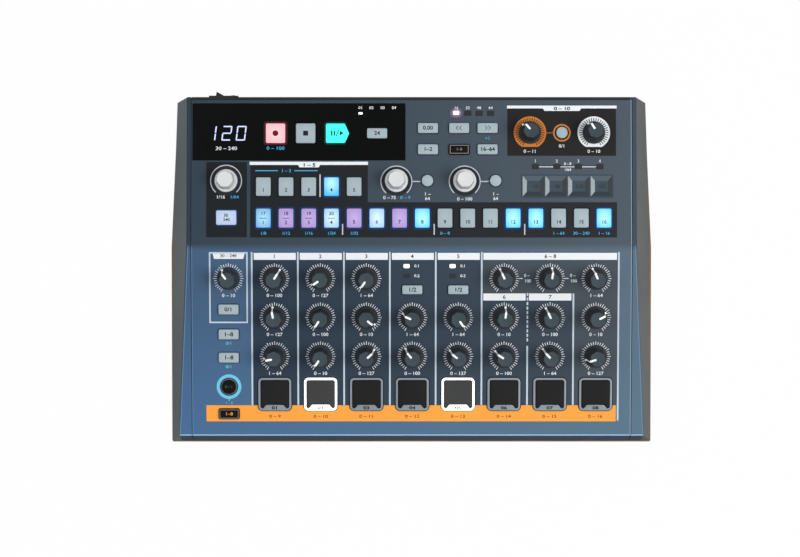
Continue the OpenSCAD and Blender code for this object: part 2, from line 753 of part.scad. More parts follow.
// An oblong key with a bevel round its top
module bar_key(w, d) {
    difference() {
        key_cap() round_rect(w, d, key_r);
        for (turn = [0:3]) rotate(turn * 90) translate([(turn % 2 == 0 ? w : d) / 2, 0, key_proud])
            rotate([0, 45, 0]) cube([key_bevel * sqrt(2), far / 8, key_bevel * sqrt(2)], center = true);
    }
    key_foot() square([w + 2 * flange_w, d + 2 * flange_w], center = true);
}

module round_key(diameter) {
    difference() {
        key_cap() circle(d = diameter);
        translate([0, 0, key_proud - key_bevel]) difference() {
            cylinder(h = 2 * key_bevel, d = diameter + 1);
            cylinder(h = 2 * key_bevel, d1 = diameter, d2 = diameter - 4 * key_bevel);
        }
    }
    key_foot() circle(d = diameter + 2 * flange_w);
}

module record_key() color("#f3b9c0") on_rear(record_at[0], record_at[1]) bar_key(big_key, big_key);
module stop_key() color("#a8b4bc") on_rear(stop_at[0], stop_at[1]) bar_key(big_key, big_key);
module play_key() color("#45e6ea") on_rear(play_at[0], play_at[1]) {
    key_cap() play_shape();
    key_foot() play_shape(flange_w);
}

module upper_keys() color("#b4c1c6") {
    for (k = rear_bars) on_rear(k[0], k[1]) bar_key(k[2], k[3]);
    for (k = rear_rounds) on_rear(k[0], k[1]) round_key(k[2]);
}

module step_keys() color("#c8b4e8")
    for (k = step_keys_at) on_rear(k[0], k[1]) bar_key(k[2], k[3]);

module lower_keys() color("#b9c6c8") {
    for (k = front_bars) on_front(k[0], k[1]) bar_key(k[2], k[3]);
    on_front(shift_at[0], shift_at[1]) round_key(shift_key_d);
}

// ---- knobs ----

// A knob on its shaft, its pointer turned clockwise from the rear by angle
module knob(angle, top, skirt) rotate([0, 0, -angle]) {
    bore_h = top - 4;
    difference() {
        union() {
            translate([0, 0, knob_gap]) cylinder(h = skirt_t, d = skirt);
            translate([0, 0, knob_gap]) rotate([0, 0, 90])
                cylinder(h = top - knob_gap, d1 = grip_base_d, d2 = grip_top_d, $fn = knob_sides);
        }
        translate([0, 0, -1]) cylinder(h = bore_h + 1, d = shaft_d + 2 * shaft_fit);
        translate([-pointer_w / 2, 1, top - pointer_t]) cube([pointer_w, skirt, 2]);
    }
    shaft_foot = pot_h + float_gap - board_depth;
    translate([0, 0, shaft_foot]) cylinder(h = bore_h - shaft_foot - 0.5, d = shaft_d);
}

module voice_knob(d) color("#454f55") on_front(dial_x(d), dial_s(d)) knob(d[3], knob_top, skirt_d);
module output_knob(d) color("#454f55") on_rear(d[1], output_row) knob(d[2], knob_top, skirt_d);
module encoder_knob(e) color("#eceef0")
    on_rear(e[1], encoder_row) knob(0, encoder_top, encoder_skirt_d);

// ---- inside ----

module circuit_boards() color("#2f5d3a") {
    end = rear_depth - 7;
    notch = rear_depth - rocker_body[1] - 3;
    on_rear(0, 0, -board_depth - board_t) linear_extrude(board_t) difference() {
        polygon([[-board_side, board_margin], [board_side, board_margin], [board_side, end], [-board_side, end]]);
        translate([rocker_x - rocker_body[0] / 2 - 1, notch]) square([rocker_body[0] + 2, far]);
    }
    on_front(0, 0, -board_depth - board_t) linear_extrude(board_t)
        translate([-board_side, board_front - front_len])
            square([2 * board_side, front_len - board_front - board_margin]);
    difference() {
        translate([-board_side, rear_wall_y - rear_t - socket_board_depth - 2, socket_board_z - board_t])
            cube([2 * board_side, socket_board_depth, board_t]);
        for (p = pillar_places) translate([p[0], p[1], 0]) cylinder(h = far, r = screw_d / 2 + screw_gap);
    }
}

module pot() translate([0, 0, -board_depth]) linear_extrude(pot_h) square([pot_w, pot_w], center = true);

module dial_bodies() color("#9aa0a3") {
    for (d = voice_dials) on_front(dial_x(d), dial_s(d)) pot();
    for (d = output_dials) on_rear(d[1], output_row) pot();
    for (e = encoders) on_rear(e[1], encoder_row) pot();
}

module key_switch() translate([0, 0, -board_depth]) linear_extrude(switch_h) square([switch_w, switch_w], center = true);

module key_switches() color("#1f2022") {
    for (k = concat(rear_bars, step_keys_at, rear_rounds)) on_rear(k[0], k[1]) key_switch();
    for (p = [record_at, stop_at, play_at]) on_rear(p[0], p[1]) key_switch();
    for (k = concat(front_bars, [shift_at])) on_front(k[0], k[1]) key_switch();
    sensor_h = board_depth - sheet_t - 1.6 - 2 * float_gap - pad_travel;
    for (n = [0:7]) on_front(pad_x(n), pad_row, -board_depth)
        linear_extrude(sensor_h) square(pad_frame_w - 2 * sensor_inset, center = true);
}

// ---- rear sockets ----

big_ring_r = 5.4;
small_ring_r = 3.2;
data_ring_r = 7.4;
power_ring_r = 4.4;

// A block behind the rear plate that stands on the socket board
module socket_block(body) translate([-body[0] / 2, -rear_t - body[1], socket_board_z - socket_h]) cube(body);

// A round piece about the socket's axis, from proud outside the plate to depth behind its face
module socket_round(proud, depth, r)
    rotate([90, 0, 0]) translate([0, 0, -proud]) cylinder(h = proud + depth, r = r);

// A round socket: a block behind the plate and a ring through it, bored from outside
module jack(x, ring_r, bore_r, bore_len, body) translate([x, rear_wall_y, socket_h]) difference() {
    union() {
        socket_block(body);
        socket_round(socket_proud, rear_t + cut, ring_r);
    }
    socket_round(socket_proud + 1, bore_len - socket_proud, bore_r);
}

module data_socket(x) translate([x, rear_wall_y, socket_h]) difference() {
    union() {
        socket_block(data_body);
        socket_round(0.4, rear_t + cut, data_ring_r);
    }
    difference() {
        socket_round(1, 6, 6.7);
        socket_round(2, 7, 5.3);
    }
    for (a = [0:45:180]) translate([3.6 * cos(a), 0, 3.6 * sin(a)]) socket_round(1, 6, 0.8);
}

module usb_socket() translate([usb_x, rear_wall_y, socket_h]) difference() {
    union() {
        socket_block([usb_nose[0], 13, socket_rise + usb_nose[1] / 2]);
        translate([-usb_nose[0] / 2, -rear_t - cut, -usb_nose[1] / 2]) cube([usb_nose[0], rear_t + 0.4, usb_nose[1]]);
    }
    difference() {
        translate([-4.3, -9, -3.9]) cube([8.6, 12, 7.8]);
        translate([-2.8, -9, -1.6]) cube([5.6, 8.6, 3.2]);
    }
}

module power_inlet() translate([power_x, rear_wall_y, socket_h]) {
    difference() {
        union() {
            socket_block(power_body);
            socket_round(0.4, rear_t + cut, power_ring_r);
        }
        socket_round(1, 9, 2.9);
    }
    socket_round(0, 9 + cut, 1.05);
}

module rocker_housing() translate([rocker_x, rear_wall_y, rocker_z]) difference() {
    union() {
        translate([-rocker_bezel[0] / 2, 0, -rocker_bezel[1] / 2]) cube([rocker_bezel[0], rocker_bezel[2], rocker_bezel[1]]);
        translate([-rocker_body[0] / 2, -rocker_body[1], -rocker_body[2] / 2]) cube(rocker_body);
    }
    translate([-rocker_half - 1.5, -8, -rocker_w / 2 - rocker_gap])
        cube([2 * rocker_half + 3, 12, rocker_w + 2 * rocker_gap]);
    translate([0, -rocker_pin_in, 0])
        cylinder(h = rocker_w + 2 * pivot_reach + 2 * pivot_gap, r = pivot_r + pivot_gap, center = true);
}

module rear_sockets() color("#1c1d1f") {
    for (x = big_jacks) jack(x, big_ring_r, big_jack_r, big_jack_len, big_jack_body);
    for (x = small_jacks) jack(x, small_ring_r, small_jack_r, small_jack_len, small_jack_body);
    for (x = data_sockets) data_socket(x);
    usb_socket();
    power_inlet();
    rocker_housing();
}

// The rocker turns about an upright pin a little behind the plate's face
module power_rocker() color("#161616")
    translate([rocker_x, rear_wall_y - rocker_pin_in, rocker_z]) rotate([0, 0, -rocker_tilt]) {
        linear_extrude(rocker_w, center = true) polygon([
            [-rocker_half, rocker_arm], [-rocker_half, 0], [-3, -3.2], [3, -3.2], [rocker_half, 0],
            [rocker_half, rocker_arm], [0, rocker_arm - 1.9]]);
        cylinder(h = rocker_w + 2 * pivot_reach, r = pivot_r, center = true);
    }

// ---- feet and screws ----

module rubber_feet() color("#1a1a1a") for (p = foot_places) translate([p[0], p[1], 0])
    rotate_extrude() polygon([
        [0, 1], [foot_d / 2 - 3, 1], [foot_d / 2 - 3, 0], [foot_d / 2 - 0.6, 0],
        [foot_d / 2, 0.6], [foot_d / 2 - 0.6, foot_h], [0, foot_h]]);

// A screw that points up, its head's bearing face at the origin
module screw(reach) {
    translate([0, 0, -screw_head_h]) cylinder(h = screw_head_h, d = screw_head_d);
    translate([0, 0, -cut]) cylinder(h = reach + cut, d = screw_d);
}

module case_screws() color("#26282a") {
    for (p = boss_places) translate([p[0], p[1], pan_z]) screw(screw_len);
    for (p = pillar_places) translate([p[0], p[1], socket_board_z]) mirror([0, 0, 1]) screw(pillar_screw_len);
}

top_panel();
base_pan();
rear_plate();
cheek(-1);  // left_cheek
cheek(1);  // right_cheek
side_strips();
display_window();
digit_display();
touch_strip();
lamp_lenses();
pad_frames();
circuit_boards();
dial_bodies();
key_switches();
rear_sockets();
rubber_feet();
case_screws();
power_rocker();
record_key();
stop_key();
play_key();
upper_keys();
step_keys();
lower_keys();
for (n = [0:7]) pad_node(n);
for (d = voice_dials) voice_knob(d);
for (d = output_dials) output_knob(d);
for (e = encoders) encoder_knob(e);
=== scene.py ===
import json
import math

import bpy
from mathutils import Matrix, Vector


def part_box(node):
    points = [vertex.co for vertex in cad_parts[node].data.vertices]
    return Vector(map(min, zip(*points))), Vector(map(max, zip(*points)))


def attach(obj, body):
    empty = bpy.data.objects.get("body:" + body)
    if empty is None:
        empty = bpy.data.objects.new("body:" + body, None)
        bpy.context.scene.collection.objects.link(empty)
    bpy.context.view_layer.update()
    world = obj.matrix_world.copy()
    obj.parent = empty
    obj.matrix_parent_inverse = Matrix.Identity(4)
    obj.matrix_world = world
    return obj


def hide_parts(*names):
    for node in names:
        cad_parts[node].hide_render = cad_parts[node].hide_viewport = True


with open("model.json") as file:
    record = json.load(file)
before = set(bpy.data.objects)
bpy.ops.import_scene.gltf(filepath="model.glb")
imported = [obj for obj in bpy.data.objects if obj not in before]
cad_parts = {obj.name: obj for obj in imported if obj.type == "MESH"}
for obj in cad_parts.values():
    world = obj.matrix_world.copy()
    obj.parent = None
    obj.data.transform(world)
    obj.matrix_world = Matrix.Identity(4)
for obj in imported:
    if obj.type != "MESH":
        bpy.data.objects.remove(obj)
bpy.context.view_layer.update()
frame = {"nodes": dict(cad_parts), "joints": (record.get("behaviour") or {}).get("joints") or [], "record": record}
joints = {joint["name"]: joint for joint in frame["joints"]}

mm = 0.001

# The panel is level at the rear and slopes at the front. A dial on the slope gives the fold between them.
slopedDial = joints["metronome_knob_turn"]
slope = math.asin(slopedDial["axis"][1])
slopeLength = 0.1254
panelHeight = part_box("display_window")[0].z
foldY = slopedDial["pos_m"][1] + (panelHeight - slopedDial["pos_m"][2]) / math.tan(slope)
bendY = foldY - slopeLength * math.cos(slope)
foldPlace = Matrix.Translation((0, foldY, panelHeight))
windowTop = (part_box("display_window")[1].z - panelHeight) / mm
cellTop = (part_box("touch_strip")[1].z - panelHeight) / mm
lensTop = (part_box("lamp_lenses")[1].z - panelHeight) / mm

# Pieces are modelled in millimetres on one of these planes: x to the right, y to the rear from the fold
rearPlane = foldPlace @ Matrix.Scale(mm, 4)
frontPlane = foldPlace @ Matrix.Rotation(slope, 4, "X") @ Matrix.Scale(mm, 4)

# Where the controls are on their planes, in millimetres
layout = {
    "firstColumn": -120.5,
    "columnPitch": 30.24,
    "firstRow": -21.4,
    "typeRow": -28.8,
    "padRow": -98,
    "firstStep": -97.45,
    "stepPitch": 14.92,
    "stepRow": 18.3,
    "modeRow": 39,
    "encoderRow": 43,
    "outputRow": 74.7,
    "transportRow": 74.2,
    "editColumns": [10.75, 31.3, 49.95],
    "editRows": [77.65, 63.6],
    "sourceLamps": [81.4, 95.5, 109.7, 123.8],
    "pageLamps": [29.4, 36.9, 44.4, 52],
    "repeatLamps": [-33.6, -26.5, -19, -11.6],
}


def columnX(number):
    return layout["firstColumn"] + number * layout["columnPitch"]


def stepX(number):
    return layout["firstStep"] + number * layout["stepPitch"]


# ---- colours and materials ----

def hexColour(code):
    parts = [int(code[i:i + 2], 16) / 255 for i in (1, 3, 5)]
    return [part / 12.92 if part <= 0.04045 else ((part + 0.055) / 1.055) ** 2.4 for part in parts] + [1]


# A link comes from the output that is given, or from the first output of the node that is given
def addNode(tree, kind, settings=None, links=None):
    node = tree.nodes.new("ShaderNode" + kind)
    for name, value in (settings or {}).items():
        if isinstance(name, int) or name in node.inputs:
            node.inputs[name].default_value = value
        else:
            setattr(node, name, value)
    for name, source in (links or {}).items():
        tree.links.new(source.outputs[0] if isinstance(source, bpy.types.Node) else source, node.inputs[name])
    return node


def newMaterial(name):
    material = bpy.data.materials.new(name)
    material.use_nodes = True
    material.node_tree.nodes.clear()
    return material, material.node_tree


def output(material, shader):
    addNode(material.node_tree, "OutputMaterial", links={"Surface": shader})
    return material


# Ends a material whose shader has a bump with the given grain and depth, both in millimetres
def outputGrained(material, place, links, settings, grain, depth, detail=3.0, strength=1.0):
    tree = material.node_tree
    fine = addNode(tree, "TexNoise", {"Scale": 1 / (grain * mm), "Detail": detail}, {"Vector": place})
    bump = addNode(tree, "Bump", {"Strength": strength, "Distance": depth * mm}, {"Height": fine})
    return output(material, addNode(tree, "BsdfPrincipled", settings, {**links, "Normal": bump}))


# A surface with a fine grain: colour varies a little between two tones, and a bump follows the grain.
# Its foot can take a painted warm reflection, as where a warm table shines up at it.
def grainedSurface(name, tones, roughness, grain, depth, metallic=0.0, ior=1.5, gloss=0.5, foot=None):
    material, tree = newMaterial(name)
    place = addNode(tree, "TexCoord").outputs["Object"]
    fine = addNode(tree, "TexNoise", {"Scale": 1 / (grain * mm), "Detail": 3.0, "Roughness": 0.6},
                   {"Vector": place})
    cloudy = addNode(tree, "TexNoise", {"Scale": 1 / (60 * mm), "Detail": 2.0}, {"Vector": place})
    both = addNode(tree, "Math", {"operation": "MULTIPLY_ADD", 1: 0.5}, {0: fine, 2: cloudy})
    ramp = addNode(tree, "ValToRGB", links={"Fac": both})
    for element, stop, tone in zip(ramp.color_ramp.elements, (0.55, 0.95), tones):
        element.position = stop
        element.color = hexColour(tone)
    colour = ramp
    if foot:
        axes = addNode(tree, "SeparateXYZ", links={"Vector": place})
        level = addNode(tree, "Math", {"operation": "MULTIPLY_ADD", 1: -foot["rise"]},
                        {0: axes.outputs["Y"], 2: axes.outputs["Z"]})
        low = addNode(tree, "MapRange", {"From Min": foot["top"], "From Max": foot["low"]}, {"Value": level})
        colour = addNode(tree, "Mix", {"data_type": "RGBA", 7: hexColour(foot["tone"])},
                         {0: low, 6: ramp}).outputs[2]
    bump = addNode(tree, "Bump", {"Strength": 1.0, "Distance": depth * mm}, {"Height": fine})
    settings = {"Roughness": roughness, "Metallic": metallic, "IOR": ior, "Specular IOR Level": gloss}
    shader = addNode(tree, "BsdfPrincipled", settings, {"Base Color": colour, "Normal": bump})
    return output(material, shader)


# Ink laid on by a screen: flat, a little uneven in gloss, thin at its grain
def screenInk(name, colour, roughness=0.5, glow=0.0):
    material, tree = newMaterial(name)
    place = addNode(tree, "TexCoord").outputs["Object"]
    fine = addNode(tree, "TexNoise", {"Scale": 1 / (0.9 * mm), "Detail": 2.0}, {"Vector": place})
    spread = 0.06
    uneven = addNode(tree, "MapRange", {"To Min": roughness - spread, "To Max": roughness + spread},
                     {"Value": fine})
    settings = {"Base Color": hexColour(colour), "IOR": 1.5, "Specular IOR Level": 0.2,
                "Emission Color": hexColour(colour), "Emission Strength": glow}
    return output(material, addNode(tree, "BsdfPrincipled", settings, {"Roughness": uneven}))


# The powder paint of the panel, blue at the front left, greyer to the right and to the rear: these changes are
# painted light. Near the front it is lighter and bluer as a painted reflection, the front face takes painted
# shade, and a painted highlight runs along its bend.
# Lengths are in metres: the half width over which it changes, and the stretches behind the fold.
panelPaintAndLight = {
    "rearLeft": "#22333f",
    "rearRight": "#404c56",
    "frontLeft": "#345270",
    "frontRight": "#4c606f",
    "nearLeft": "#3c628a",
    "nearRight": "#4d6778",
    # face is painted shade on the front face, and bend a painted highlight along the edge above it
    "face": "#2b4054",
    "bend": "#a6cdec",
    "bendHalf": 0.00045,
    "halfWidth": 0.158,
    "foldStretch": (0.0015, -0.003),
    "nearStretch": (-0.03, -0.125),
}
# The side strips take the same paint, with more painted shade on the level part
stripPaintAndLight = {**panelPaintAndLight, "rearLeft": "#1d2d3a", "rearRight": "#313e4a"}


def powderPainted(name, paint):
    material, tree = newMaterial(name)
    place = addNode(tree, "TexCoord").outputs["Object"]
    axes = addNode(tree, "SeparateXYZ", links={"Vector": place})
    half = paint["halfWidth"]
    across = addNode(tree, "MapRange", {"From Min": -half, "From Max": half}, {"Value": axes.outputs["X"]})
    along, nearness = (addNode(tree, "MapRange", {"From Min": foldY + start, "From Max": foldY + end},
                               {"Value": axes.outputs["Y"]})
                       for start, end in (paint["foldStretch"], paint["nearStretch"]))
    tones = {part: addNode(tree, "Mix", {"data_type": "RGBA", 6: hexColour(paint[part + "Left"]),
                                         7: hexColour(paint[part + "Right"])}, {0: across}).outputs[2]
             for part in ("rear", "front", "near")}
    sloped = addNode(tree, "Mix", {"data_type": "RGBA"}, {0: nearness, 6: tones["front"], 7: tones["near"]})
    whole = addNode(tree, "Mix", {"data_type": "RGBA"}, {0: along, 6: tones["rear"], 7: sloped.outputs[2]})
    # Painted shade on the front face, below the bend
    below = addNode(tree, "Math", {"operation": "LESS_THAN", 1: bendY}, {0: axes.outputs["Y"]})
    faceShaded = addNode(tree, "Mix", {"data_type": "RGBA", 7: hexColour(paint["face"])},
                     {0: below, 6: whole.outputs[2]})
    # A painted highlight in a thin line along the bend
    atBend = addNode(tree, "Math", {"operation": "COMPARE", 1: bendY, 2: paint["bendHalf"]},
                     {0: axes.outputs["Y"]})
    bendHighlighted = addNode(tree, "Mix", {"data_type": "RGBA", 7: hexColour(paint["bend"])},
                   {0: atBend, 6: faceShaded.outputs[2]})
    settings = {"Roughness": 0.5, "IOR": 1.5, "Specular IOR Level": 0.3}
    return outputGrained(material, place, {"Base Color": bendHighlighted.outputs[2]}, settings, 0.5, 0.02)


# A dark zone of ink that gets paler to the right: painted light, as the light falls across the panel
def shadedInk(name, left, right):
    material, tree = newMaterial(name)
    place = addNode(tree, "TexCoord").outputs["Object"]
    axes = addNode(tree, "SeparateXYZ", links={"Vector": place})
    across = addNode(tree, "MapRange", {"From Min": -0.14, "From Max": 0.14}, {"Value": axes.outputs["X"]})
    mixed = addNode(tree, "Mix", {"data_type": "RGBA", 6: hexColour(left), 7: hexColour(right)}, {0: across})
    settings = {"Roughness": 0.55, "IOR": 1.5, "Specular IOR Level": 0.15}
    return outputGrained(material, place, {"Base Color": mixed.outputs[2]}, settings, 0.5, 0.015)


# Frosted plastic lit from below: the core is paler than the rim, and light comes through it.
# The key's own map runs from 0 to 1 across its top.
def litPlastic(name, rim, core, glow, coreAt=(0.5, 0.5)):
    material, tree = newMaterial(name)
    place = addNode(tree, "TexCoord")
    reach = 1.5
    centred = addNode(tree, "Mapping", {"Location": (-coreAt[0] * reach, -coreAt[1] * reach, 0),
                                        "Scale": (reach, reach, 1.0)}, {"Vector": place.outputs["UV"]})
    pool = addNode(tree, "TexGradient", {"gradient_type": "SPHERICAL"}, {"Vector": centred})
    mixed = addNode(tree, "Mix", {"data_type": "RGBA", 6: hexColour(rim), 7: hexColour(core)},
                    {0: pool.outputs["Fac"]}).outputs[2]
    settings = {"Roughness": 0.42, "IOR": 1.49, "Emission Strength": glow}
    return outputGrained(material, place.outputs["Object"], {"Base Color": mixed, "Emission Color": mixed},
                         settings, 0.4, 0.02, detail=2.0, strength=0.6)


# Moulded cells with painted light by the way each wall faces: a painted highlight on the left walls, painted shade
# on the right and front walls
cellWallLightAndShade = {"right": "#18232a", "front": "#233038", "floor": "#34424b", "rear": "#46535c", "left": "#7d888d"}


def walledCells(name):
    material, tree = newMaterial(name)
    place = addNode(tree, "TexCoord")
    # Painted light: the colour follows which way the surface faces
    facing = addNode(tree, "SeparateXYZ", links={"Vector": place.outputs["Normal"]})
    tilt = addNode(tree, "Math", {"operation": "MULTIPLY_ADD", 1: -0.4},
                   {0: facing.outputs["Y"], 2: facing.outputs["X"]})
    spread = addNode(tree, "MapRange", {"From Min": -0.24, "From Max": 0.24}, {"Value": tilt})
    ramp = addNode(tree, "ValToRGB", links={"Fac": spread})
    ramp.color_ramp.elements[0].color = hexColour(cellWallLightAndShade["right"])
    ramp.color_ramp.elements[1].color = hexColour(cellWallLightAndShade["left"])
    for stop, tone in ((0.32, "front"), (0.5, "floor"), (0.68, "rear")):
        ramp.color_ramp.elements.new(stop).color = hexColour(cellWallLightAndShade[tone])
    settings = {"Roughness": 0.35, "IOR": 1.58, "Specular IOR Level": 0.3}
    return outputGrained(material, place.outputs["Object"], {"Base Color": ramp.outputs["Color"]}, settings,
                         0.4, 0.006)


# Smooth cast or polished plastic with a clear gloss
def glossySheet(name, colour, roughness, gloss=0.5):
    material, tree = newMaterial(name)
    place = addNode(tree, "TexCoord").outputs["Object"]
    dust = addNode(tree, "TexNoise", {"Scale": 1 / (3 * mm), "Detail": 4.0}, {"Vector": place})
    wiped = addNode(tree, "MapRange", {"To Min": roughness, "To Max": roughness + 0.08}, {"Value": dust})
    settings = {"Base Color": hexColour(colour), "IOR": 1.49, "Specular IOR Level": gloss}
    return output(material, addNode(tree, "BsdfPrincipled", settings, {"Roughness": wiped}))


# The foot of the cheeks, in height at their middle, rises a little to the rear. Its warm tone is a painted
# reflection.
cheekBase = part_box("left_cheek")[0].z
cheekFootReflection = {"low": cheekBase + 2.2 * mm, "top": cheekBase + 4.9 * mm, "rise": 0.013, "tone": "#a87650"}
# Each grained surface by its name, its two tones, its roughness, the size and the depth of its grain in
# millimetres, and then metallic, IOR, gloss and foot as far as they differ from the usual ones
grained = {
    "pan": ("steelPowderPaintedBrown", ("#80593c", "#966b4a"), 0.55, 0.5, 0.02, 0.0, 1.5, 0.25),
    "rear": ("steelPowderPaintedBlack", ("#1b2024", "#252a2f"), 0.5, 0.5, 0.02, 0.0, 1.5, 0.2),
    "nut": ("brassPlatedNickel", ("#b9b7b0", "#cbc9c2"), 0.25, 0.5, 0.004, 1.0),
    "contact": ("bronzePlatedTin", ("#a7a8a6", "#bcbdbb"), 0.35, 0.5, 0.004, 1.0),
    "cheek": ("absMouldedGrey", ("#656d70", "#717879"), 0.5, 0.4, 0.015, 0.0, 1.54, 0.3, cheekFootReflection),
    # The right cheek is the same grey plastic as the left, made a little darker and warmer: painted shade against
    # the light from the right
    "rightCheek": ("absMouldedAsh", ("#5a5e5c", "#656865"), 0.5, 0.4, 0.015, 0.0, 1.54, 0.3, cheekFootReflection),
    "frame": ("absSprayedSilver", ("#768188", "#848f95"), 0.4, 0.3, 0.005, 0.0, 1.54, 0.3),
    "knob": ("absSoftTouchBlack", ("#1f262a", "#2a3136"), 0.65, 0.3, 0.01, 0.0, 1.54, 0.25),
    # The knob's top is the same soft black, lighter as a painted highlight where the light falls on it
    "knobTopLit": ("absSoftTouchSlate", ("#2c383f", "#354148"), 0.6, 0.3, 0.01, 0.0, 1.54, 0.25),
    "pointer": ("absMouldedWhite", ("#eceeec", "#f8f9f8"), 0.4, 0.4, 0.004, 0.0, 1.54),
    "encoder": ("absMouldedIvory", ("#c5c7c6", "#d3d5d4"), 0.35, 0.4, 0.006, 0.0, 1.54),
    "pad": ("siliconeMouldedBlack", ("#161616", "#1d1d1d"), 0.75, 0.35, 0.03, 0.0, 1.43, 0.2),
    # The pads in lit frames are the same black rubber, painted lighter by the light of their frames
    "litPad": ("siliconeMouldedCharcoal", ("#343434", "#3e3e3e"), 0.75, 0.35, 0.03, 0.0, 1.43, 0.2),
    "blackKey": ("absMouldedBlack", ("#0b0a08", "#12100e"), 0.5, 0.4, 0.008, 0.0, 1.54, 0.08),
    "board": ("fibreglassLacqueredGreen", ("#1d4a2c", "#27593a"), 0.35, 0.8, 0.01),
    "dialMetal": ("steelPressedZinc", ("#a0a4a6", "#b4b8ba"), 0.35, 0.6, 0.004, 1.0),
    "switch": ("nylonMouldedBlack", ("#17181a", "#202123"), 0.5, 0.3, 0.01, 0.0, 1.53),
    "rocker": ("polyamideMouldedGlossBlack", ("#222427", "#2b2e31"), 0.22, 0.3, 0.004, 0.0, 1.53),
    "foot": ("rubberMouldedBlack", ("#141414", "#1e1e1e"), 0.8, 0.4, 0.03, 0.0, 1.52),
    "screw": ("steelBlackOxide", ("#1b1c1e", "#2a2b2d"), 0.4, 0.3, 0.004, 1.0),
}
finish = {key: grainedSurface(*looks) for key, looks in grained.items()}
finish.update({
    "panel": powderPainted("steelPowderPaintedSlate", panelPaintAndLight),
    "sideStrip": powderPainted("steelPowderPaintedHarbour", stripPaintAndLight),
    "window": glossySheet("acrylicCastBlack", "#080908", 0.1, 0.32),
    "display": glossySheet("epoxyCastBlack", "#14161a", 0.3),
    "strip": walledCells("polycarbonateMouldedSmoked"),
    "key": litPlastic("polycarbonateFrostedPale", "#93a3a9", "#9fadb2", 0.0),
    "lens": litPlastic("polycarbonateClearLensOff", "#101213", "#1a1d1e", 0.0),
    "zoneInk": shadedInk("inkScreenedCharcoal", "#13191d", "#212226"),
    "columnInk": shadedInk("inkScreenedNavy", "#233242", "#37424c"),
    "wideColumnInk": shadedInk("inkScreenedSlate", "#3c454d", "#414950"),
    "litFrame": screenInk("absLitWhite", "#f8fafa", 0.4, 1.1),
    "whiteLight": screenInk("lightWhite", "#eef0ff", 0.4, 1.0),
    "pinkLight": screenInk("lightPink", "#ffd8f2", 0.4, 1.2),
    "digitLight": screenInk("lightDigit", "#bcc4ea", 0.4, 0.45),
    # Painted highlights along the seams and along the strips' outer edges
    "seamHighlightInk": screenInk("paintWornSlate", "#7f97a8"),
    "dimSeamHighlightInk": screenInk("paintWornHarbour", "#6886a0"),
})
plainInks = {
    "whiteInk": ("White", "#dde1e3"), "tickInk": ("Bright", "#f2f4f5"), "greyInk": ("Grey", "#b9bcc0"),
    "skyInk": ("Sky", "#b9c6d0"), "blueInk": ("Blue", "#46a3cf"), "orangeInk": ("Orange", "#f09a3c"),
    "brownInk": ("Copper", "#c0722c"), "darkInk": ("Dark", "#12161a"), "rustInk": ("Rust", "#8a4a1e"),
    # The halo inks, red, green and blue, are a painted glow round lit keys; the green one also prints the play
    # sign
    "paleBlueInk": ("PaleBlue", "#6abbd8"), "redInk": ("Red", "#5e0f14"), "redHalo": ("Maroon", "#3a0f15"),
    "greenHalo": ("Teal", "#06221e"), "haloInk": ("Midnight", "#0e3364"), "boxInk": ("Black", "#181616"),
    # The glow inks are a painted glow round the page lamp, and the disc ink is painted shadow round the encoders
    "glowInk": ("Plum", "#5d5568"), "nearGlowInk": ("Orchid", "#a983a4"), "discInk": ("Coal", "#1d262c"),
    # The well ink is painted shadow in the gaps round keys, pads and the lamp line
    "wellInk": ("Pitch", "#0c0e10"), "gapInk": ("Harbour", "#2b4858"), "rimInk": ("Taupe", "#8d8a80"),
    "faintInk": ("SlateGrey", "#4c4c4a"),
}
for name, (tone, colour) in plainInks.items():
    finish[name] = screenInk("inkScreened" + tone, colour)
litKeys = {
    "Violet": ("#9c86c0", "#b7a2d6", 0.06),
    "Sky": ("#48b4ee", "#a8ecfb", 0.25),
    "Ice": ("#619dd2", "#a5d5e6", 0.11),
    "Aqua": ("#46aee2", "#aee6ee", 0.18, (0.5, 0.68)),
    "Snow": ("#8db8ec", "#cfe9f9", 0.12),
    "Mist": ("#a5b6d2", "#b9c9e0", 0.08),
    "Pink": ("#f3a3a9", "#f9bfc3", 0.2),
    "Turquoise": ("#30e2cf", "#3bf4e0", 0.32),
}
for tone, looks in litKeys.items():
    finish[tone.lower() + "Key"] = litPlastic("polycarbonateLit" + tone, *looks)
print("materials made:", len(finish))


# ---- modelling helpers ----

def onlySelect(*pieces):
    bpy.ops.object.select_all(action="DESELECT")
    for piece in pieces:
        piece.select_set(True)
    bpy.context.view_layer.objects.active = pieces[0]


def settle(piece, place):
    onlySelect(piece)
    piece.matrix_world = place
    bpy.ops.object.transform_apply(location=True, rotation=True, scale=True)


def joined(parts, name):
    onlySelect(*parts)
    if len(parts) > 1:
        bpy.ops.object.join()
    piece = bpy.context.object
    piece.name = name
    piece.data.name = name
    return piece


def placedCopy(model, name, place):
    twin = model.copy()
    twin.data = model.data.copy()
    twin.name = name
    twin.data.name = name
    bpy.context.scene.collection.objects.link(twin)
    settle(twin, place)
    return twin


def discard(*models):
    for model in models:
        bpy.data.objects.remove(model)


def finishWith(piece, kind, **settings):
    onlySelect(piece)
    added = piece.modifiers.new(kind.title(), kind)
    for name, value in settings.items():
        setattr(added, name, value)
    bpy.ops.object.modifier_apply(modifier=added.name)


def cutOut(piece, tool):
    finishWith(piece, "BOOLEAN", object=tool, operation="DIFFERENCE", solver="EXACT")
    discard(tool)


def smooth(piece, degrees):
    onlySelect(piece)
    bpy.ops.object.shade_smooth_by_angle(angle=math.radians(degrees))


def enterEdit():
    bpy.ops.object.mode_set(mode="EDIT")


def leaveEdit():
    bpy.ops.object.mode_set(mode="OBJECT")


def editAll(piece):
    onlySelect(piece)
    enterEdit()
    bpy.ops.mesh.select_all(action="SELECT")


pickModes = {"vertices": (True, False, False), "edges": (False, True, False), "polygons": (False, False, True)}


